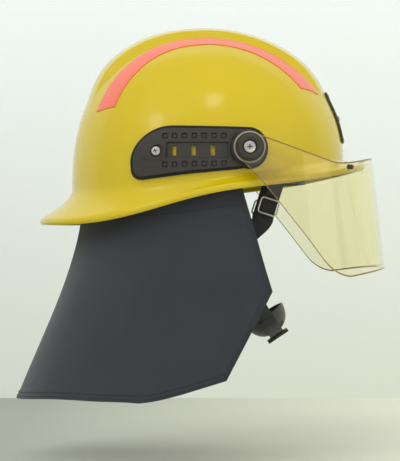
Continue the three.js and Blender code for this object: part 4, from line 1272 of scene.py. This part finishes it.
def ribbon(name, path, across, width, thick):
    across = np.broadcast_to(np.asarray(across, dtype=float), path.shape)
    along = unit(np.gradient(path, axis=0))
    wide = unit(across - along * (across * along).sum(-1, keepdims=True))
    deep = np.cross(wide, along)
    share = np.linspace(-0.5, 0.5, 7)
    middle = path[:, None] + wide[:, None] * share[None, :, None] * width
    run = np.concatenate([[0], np.cumsum(np.linalg.norm(np.diff(path, axis=0), axis=1))])
    uv = np.stack(np.broadcast_arrays(run[:, None], share[None] * width), axis=-1)
    sides = [middle + deep[:, None] * half * thick / 2 for half in (1, -1)]
    obj = between(name, *sides, uv=uv)
    return rounded(obj, 0.45, 2, 60)


# %% The strap's own frame
WEB_WIDTH, WEB_THICK = 14, 1.6
TILT = math.radians(18)
LOOP_X, LOOP_Y, LOOP_Z = 57, 82.5, -36


# across the strap, out of the helmet's side, and up along the strap.
def on_strap(side, across, out, up):
    return (LOOP_X + across * math.cos(TILT) + up * math.sin(TILT), SIDES[side] * (LOOP_Y + out),
            LOOP_Z - across * math.sin(TILT) + up * math.cos(TILT))


ACROSS_STRAP = np.array([math.cos(TILT), 0, -math.sin(TILT)])

# %% Upper straps, with a box of stitches under the rivet
STRAP_TOP = 50


def upper_strap(side):
    route = [(0, STRAP_TOP), (0, 34), (0, 18), (-0.4, 12), (-2.2, 8), (-2.4, 2), (-2.4, -6.4)]
    path = through([on_strap(side, 0, out, up) for out, up in route], 8)
    name = side + "_upper_strap"
    settle(ribbon(name + "_dressed", path, ACROSS_STRAP, WEB_WIDTH, WEB_THICK), WEBBING, name)
    rows = []
    for across in (-5, 5):
        rows.append([on_strap(side, across, 0.85, up) for up in (16, 22, 28)])
    for up in (16, 28):
        rows.append([on_strap(side, across, 0.85, up) for across in (-5, 0, 5)])
    rows.append([on_strap(side, across, 0.85, 22 + across * 1.2) for across in (-5, 0, 5)])
    rows.append([on_strap(side, across, 0.85, 22 - across * 1.2) for across in (-5, 0, 5)])
    sewn(name + "_stitches", rows, name, step=2.4, length=0.95, thread=0.3)


# %% Wire loops
# A wire loop is bent from round steel rod: one closed line with round corners, given a round section.
def wire(name, path, radius):
    line = path_curve(name + "_line", [path])
    line.data.bevel_depth = radius * MM
    line.data.bevel_resolution = 5
    line.data.splines[0].use_cyclic_u = True
    return as_mesh(line, name)


def strap_loop(side):
    outline = rectangle(0, 0, 17.0, 14.0, 2.4)
    path = [on_strap(side, across, 0, up) for across, up in outline]
    name = side + "_strap_loop"
    settle(wire(name + "_dressed", path, 0.85), STEEL, name, smooth=60)


# %% [markdown]
# ## Chin cup
#
# The cup is a shallow oval bowl that is longest from side to side, pierced by two vents and
# lined with a soft pad. Its strap runs under it from side to side through a slider. The jaw
# straps come down from the loops and are sewn onto that strap.

# %% The cup's frame
CUP_X, CUP_Z, CUP_TILT = 54, -135, math.radians(-34)
CUP_LONG, CUP_HALF, CUP_DEEP = 21, 32, 23
CUP_REACH = math.radians(75)


def on_cup(points):
    x, y, z = points[..., 0], points[..., 1], points[..., 2]
    turned_x = x * math.cos(CUP_TILT) + z * math.sin(CUP_TILT)
    turned_z = -x * math.sin(CUP_TILT) + z * math.cos(CUP_TILT)
    return np.stack([turned_x + CUP_X, y, turned_z + CUP_Z], axis=-1)


def cup_strap_place(turn, extra):
    turn = np.asarray(turn, dtype=float)
    half, deep = CUP_HALF + 0.5 + extra, CUP_DEEP + 0.5 + extra
    return on_cup(np.stack([0 * turn, half * np.sin(turn), -deep * np.cos(turn)], axis=-1))


def cup_layer(name, outside, inside, reach):
    spin = np.linspace(0, TAU, 120, endpoint=False)
    turn, spin = np.meshgrid(np.linspace(0, reach, 33), spin, indexing="ij")
    walls = []
    for inset in (outside, inside):
        x = (CUP_LONG - inset) * np.sin(turn) ** 0.75 * np.cos(spin)
        y = (CUP_HALF - inset) * np.sin(turn) * np.sin(spin)
        walls.append(on_cup(np.stack([x, y, -(CUP_DEEP - inset) * np.cos(turn)], axis=-1)))
    return between(name, *walls, around=True)


# %% Cup, pad, strap and slider
def chin_cup():
    cup = cup_layer("chin_cup_dressed", 0, 2, math.radians(82))
    vents = [turned("vent", [(0, 0), (2.3, 0), (2.3, 40), (0, 40)], (CUP_X, y, CUP_Z), (0.894, 0, -0.447), 32)
             for y in (-15, 15)]
    cut_with(cup, *vents)
    rounded(cup, 0.45, 2, 50)
    settle(cup, BLACK, "chin_cup", smooth=45)
    pad = cup_layer("chin_cup_pad_dressed", 2.3, 4.5, math.radians(76))
    rounded(pad, 0.8, 3, 50)
    settle(pad, PAD_RUBBER, "chin_cup_pad", smooth=60)
    turns = np.linspace(-CUP_REACH, CUP_REACH, 61)
    width = (math.cos(CUP_TILT), 0, -math.sin(CUP_TILT))
    strap = ribbon("cup_strap_dressed", cup_strap_place(turns, 0.8), width, WEB_WIDTH, WEB_THICK)
    settle(strap, WEBBING, "cup_strap")
    rounded_copy("strap_slider", 0.5, BLACK, 2, 40)


def jaw_strap(side):
    sign = SIDES[side]
    ends = cup_strap_place(np.array([-1.0, -0.9]) * CUP_REACH, 2.5)
    away = unit(ends[0] - ends[1])
    route = [on_strap(side, 0, -4.1, 3), on_strap(side, 0, -4.1, -7), on_strap(side, 0, -1.5, -15.5),
             (36, sign * 77.5, -68), (31, sign * 68, -94)]
    for place in (ends[0] + away * 9, ends[0], cup_strap_place(-0.82 * CUP_REACH, 2.5)):
        route.append((place[0], -sign * place[1], place[2]))
    path = through(route, 12)
    share = np.linspace(0, 1, len(path))[:, None]
    across = ACROSS_STRAP * (1 - share) + np.array([1, 0, 0.62]) * share
    name = side + "_jaw_strap"
    settle(ribbon(name + "_dressed", path, across, WEB_WIDTH, WEB_THICK), WEBBING, name)


chin_cup()
for side in SIDES:
    upper_strap(side)
    strap_loop(side)
    jaw_strap(side)
    rounded_copy(side + "_strap_anchor", 0.25, BLACK)

# %% [markdown]
# ## Inside the shell
#
# A foam liner takes the blow. Below it a cradle of webbing and a plastic band carry the helmet
# on the head, and four clips join the band to the shell. The liner follows the dome's rule at
# a smaller distance and has shallow air channels running up to its crown.

# %% Liner
LINER_LOW, LINER_OUT, LINER_THICK, CHANNEL = 25, 3.4, 15, 3


def liner():
    phi, down = np.linspace(0, TAU, 240, endpoint=False), np.linspace(0, 1, 41)[:, None]
    foot, power = root_height(phi), 2 / fullness(phi)
    lowest = np.arcsin(((LINER_LOW - foot) / (CROWN - foot)) ** (1 / power))
    turn = math.pi / 2 + (lowest - math.pi / 2) * down
    radius = foot_radius(phi) * np.maximum(0, np.cos(turn)) ** power
    radius[0] = 0
    line = np.stack([radius, foot + (CROWN - foot) * np.sin(turn) ** power], axis=-1)
    channel = CHANNEL * smoothstep(0.72, 0.9, np.cos(phi * 5) ** 2) * smoothstep(0.2, 0.45, down)
    inside = -LINER_OUT - LINER_THICK + channel
    walls = [pushed_out(line, -LINER_OUT), pushed_out(line, inside[..., None])]
    obj = between("impact_liner_dressed", *[around(phi, w[..., 0], w[..., 1]) for w in walls], around=True)
    rounded(obj, 1.6, 3, 55)
    settle(obj, FOAM, "impact_liner", smooth=50)


liner()

# %% Headband and brow pad
BAND_FRONT, BAND_BACK, BAND_HALF, BAND_THICK, BAND_LOW, BAND_HIGH = 94, 98, 79, 1.6, -14, 18
PAD_THICK, PAD_LOW, PAD_HIGH, PAD_REACH = 4, -12, 16, math.radians(68)


def band_radius(phi):
    return oval(phi, BAND_FRONT, BAND_BACK, BAND_HALF)


def headband():
    rows, phi = np.meshgrid(np.linspace(0, 1, 17), np.linspace(0, TAU, 240, endpoint=False), indexing="ij")
    z = BAND_LOW + (BAND_HIGH - BAND_LOW) * rows
    bead = 0.45 * (smoothstep(0.90, 0.95, rows) + 1 - smoothstep(0.05, 0.10, rows))
    outer, inner = band_radius(phi) + BAND_THICK, band_radius(phi) - bead
    obj = between("headband_dressed", around(phi, outer, z), around(phi, inner, z), around=True)
    settle(rounded(obj, 0.5, 2, 60), DARK, "headband", smooth=50)


# The pad's face is crowned, and sewn channels pull it in every few centimetres.
def brow_pad():
    rows, share = np.meshgrid(np.linspace(-1, 1, 33), np.linspace(-1, 1, 241), indexing="ij")
    phi = PAD_REACH * share
    z = (PAD_LOW + PAD_HIGH) / 2 + rows * (PAD_HIGH - PAD_LOW) / 2
    crowned = (1 - rows ** 6) * (1 - share ** 40)
    channels = 1 - 0.55 * np.exp(-(np.sin(share * math.pi * 3.5 + math.pi / 2) / 0.11) ** 2)
    front = band_radius(phi) - 0.8 - 0.8 - (PAD_THICK - 0.8) * crowned * channels
    back = band_radius(phi) - 0.8
    uv = np.stack([phi * 90, z], axis=-1)
    obj = between("brow_pad_dressed", around(phi, back, z), around(phi, front, z), uv=uv)
    settle(obj, PADDING, "brow_pad", smooth=60)
    seam = []
    for step in range(-3, 4):
        turn = PAD_REACH * step / 3.5
        heights = np.linspace(-10, 14, 9)
        seam.append(around(np.full(9, turn), np.full(9, float(band_radius(np.array(turn))) - 3.1), heights))
    sewn("brow_pad_stitches", seam, "brow_pad", step=2.8, length=1.0, thread=0.32)


headband()
brow_pad()


# %% Crown straps
STRAP_LOW, CROWN_WIDTH, CROWN_THICK = 2, 20, 1.2


def crown_strap(node, front, back, top, lengthwise):
    turn = np.linspace(0, math.pi, 97)
    reach = np.where(np.cos(turn) > 0, front, back) + BAND_THICK + 0.3 + CROWN_THICK / 2
    along, z = reach * np.cos(turn), BAND_HIGH + (top + CROWN_THICK / 2 - BAND_HIGH) * np.sin(turn)
    along = np.concatenate([[along[0]] * 2, along, [along[-1]] * 2])
    z = np.concatenate([[STRAP_LOW, BAND_HIGH * 0.6], z, [BAND_HIGH * 0.6, STRAP_LOW]])
    path = np.stack([along, 0 * along, z] if lengthwise else [0 * along, along, z], axis=-1)
    across = (0, 1, 0) if lengthwise else (1, 0, 0)
    settle(ribbon(node + "_dressed", path, across, CROWN_WIDTH, CROWN_THICK), WEBBING, node)


crown_strap("crown_strap_long", BAND_FRONT, BAND_BACK, 98, True)
crown_strap("crown_strap_cross", BAND_HALF, BAND_HALF, 96, False)

# %% Clips, cradle and the tape that holds the curtain
for side in SIDES:
    rounded_copy(side + "_front_hanger", 0.5, DARK)
    rounded_copy(side + "_rear_hanger", 0.5, DARK)
rounded_copy("nape_cradle", 0.45, DARK, 2, 45)


def curtain_tape():
    spread = math.pi + np.linspace(-1, 1, 181) * CURTAIN_REACH
    rows, phi = np.meshgrid(np.linspace(0, 1, 9), spread, indexing="ij")
    z = root_height(phi) - HELD_BELOW + (HELD_ABOVE + HELD_BELOW) * rows
    walls = [around(phi, wall_inside(phi) + reach, z) for reach in (TAPE_THICK, 0)]
    uv = np.stack([phi * 115, z], axis=-1)
    obj = between("curtain_tape_dressed", *walls, uv=uv)
    settle(rounded(obj, 0.4, 2, 60), WEBBING, "curtain_tape", smooth=50)


curtain_tape()

# %% [markdown]
# ## The fitting knob
#
# At the nape a ribbed knob turns a pinion that pulls the headband's two racks together. The
# ribs repeat round the rim, so Geometry Nodes set one round bar on each point of a circle.

# %% Ribs round a rim
def rib_tree(paint):
    tree = bpy.data.node_groups.new("rim_ribs", "GeometryNodeTree")
    titles = (("Count", "NodeSocketInt", 30), ("Rim", "NodeSocketFloat", 11.2 * MM),
              ("Rib", "NodeSocketFloat", 0.78 * MM), ("Depth", "NodeSocketFloat", 5.2 * MM))
    tree.interface.new_socket("Geometry", in_out="INPUT", socket_type="NodeSocketGeometry")
    for title, kind, value in titles:
        tree.interface.new_socket(title, in_out="INPUT", socket_type=kind).default_value = value
    tree.interface.new_socket("Geometry", in_out="OUTPUT", socket_type="NodeSocketGeometry")
    start, end = tree.nodes.new("NodeGroupInput"), tree.nodes.new("NodeGroupOutput")
    circle = tree.nodes.new("GeometryNodeMeshCircle")
    bar = tree.nodes.new("GeometryNodeMeshCylinder")
    bar.inputs["Vertices"].default_value = 12
    laid = tree.nodes.new("GeometryNodeInstanceOnPoints")
    real = tree.nodes.new("GeometryNodeRealizeInstances")
    finish = tree.nodes.new("GeometryNodeSetMaterial")
    finish.inputs["Material"].default_value = paint
    links = ((start.outputs["Count"], circle.inputs["Vertices"]),
             (start.outputs["Rim"], circle.inputs["Radius"]),
             (start.outputs["Rib"], bar.inputs["Radius"]), (start.outputs["Depth"], bar.inputs["Depth"]),
             (circle.outputs[0], laid.inputs["Points"]), (bar.outputs[0], laid.inputs["Instance"]),
             (laid.outputs[0], real.inputs[0]), (real.outputs[0], finish.inputs["Geometry"]),
             (finish.outputs[0], end.inputs[0]))
    for source, target in links:
        tree.links.new(source, target)
    return tree


def fitting_knob():
    low, high = (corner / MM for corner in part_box("ratchet_knob"))
    foot = (0, 0, (low.z + high.z) / 2)
    back = -low.x
    profile = [(0, back - 8.2), (2.5, back - 8.2), (2.5, back - 6.4), (10.6, back - 6.4), (11.2, back - 5.8),
               (11.2, back - 1.2), (10.4, back - 0.4), (9.2, back), (7.6, back), (6.6, back - 0.7),
               (0, back - 0.9)]
    knob = turned("ratchet_knob_dressed", profile, foot, (-1, 0, 0), 96)
    seed = placed("rib_seed", bpy.data.meshes.new("rib_seed"))
    ribs = seed.modifiers.new("ribs", "NODES")
    ribs.node_group = rib_tree(BLACK)
    bake(seed)
    turn = Matrix.Translation(Vector((-(back - 3.5), 0, foot[2])) * MM) @ Matrix.Rotation(math.pi / 2, 4, "Y")
    seed.data.transform(turn)
    print("ribs on the knob:", len(seed.data.polygons) // RIB_FACES)
    settle(joined("ratchet_knob_dressed", [knob, seed]), BLACK, "ratchet_knob", smooth=38)


fitting_knob()
rounded_copy("ratchet_housing", 1.0, DARK, 3)
rounded_copy("ratchet_pinion", 0.2, DARK)
for side in SIDES:
    rounded_copy(side + "_ratchet_rack", 0.3, DARK)

# %% Finish
missing = sorted(node for node in BODY_OF if bpy.data.objects.get(node + "_dressed") is None)
print("nodes without a dressed piece:", missing)
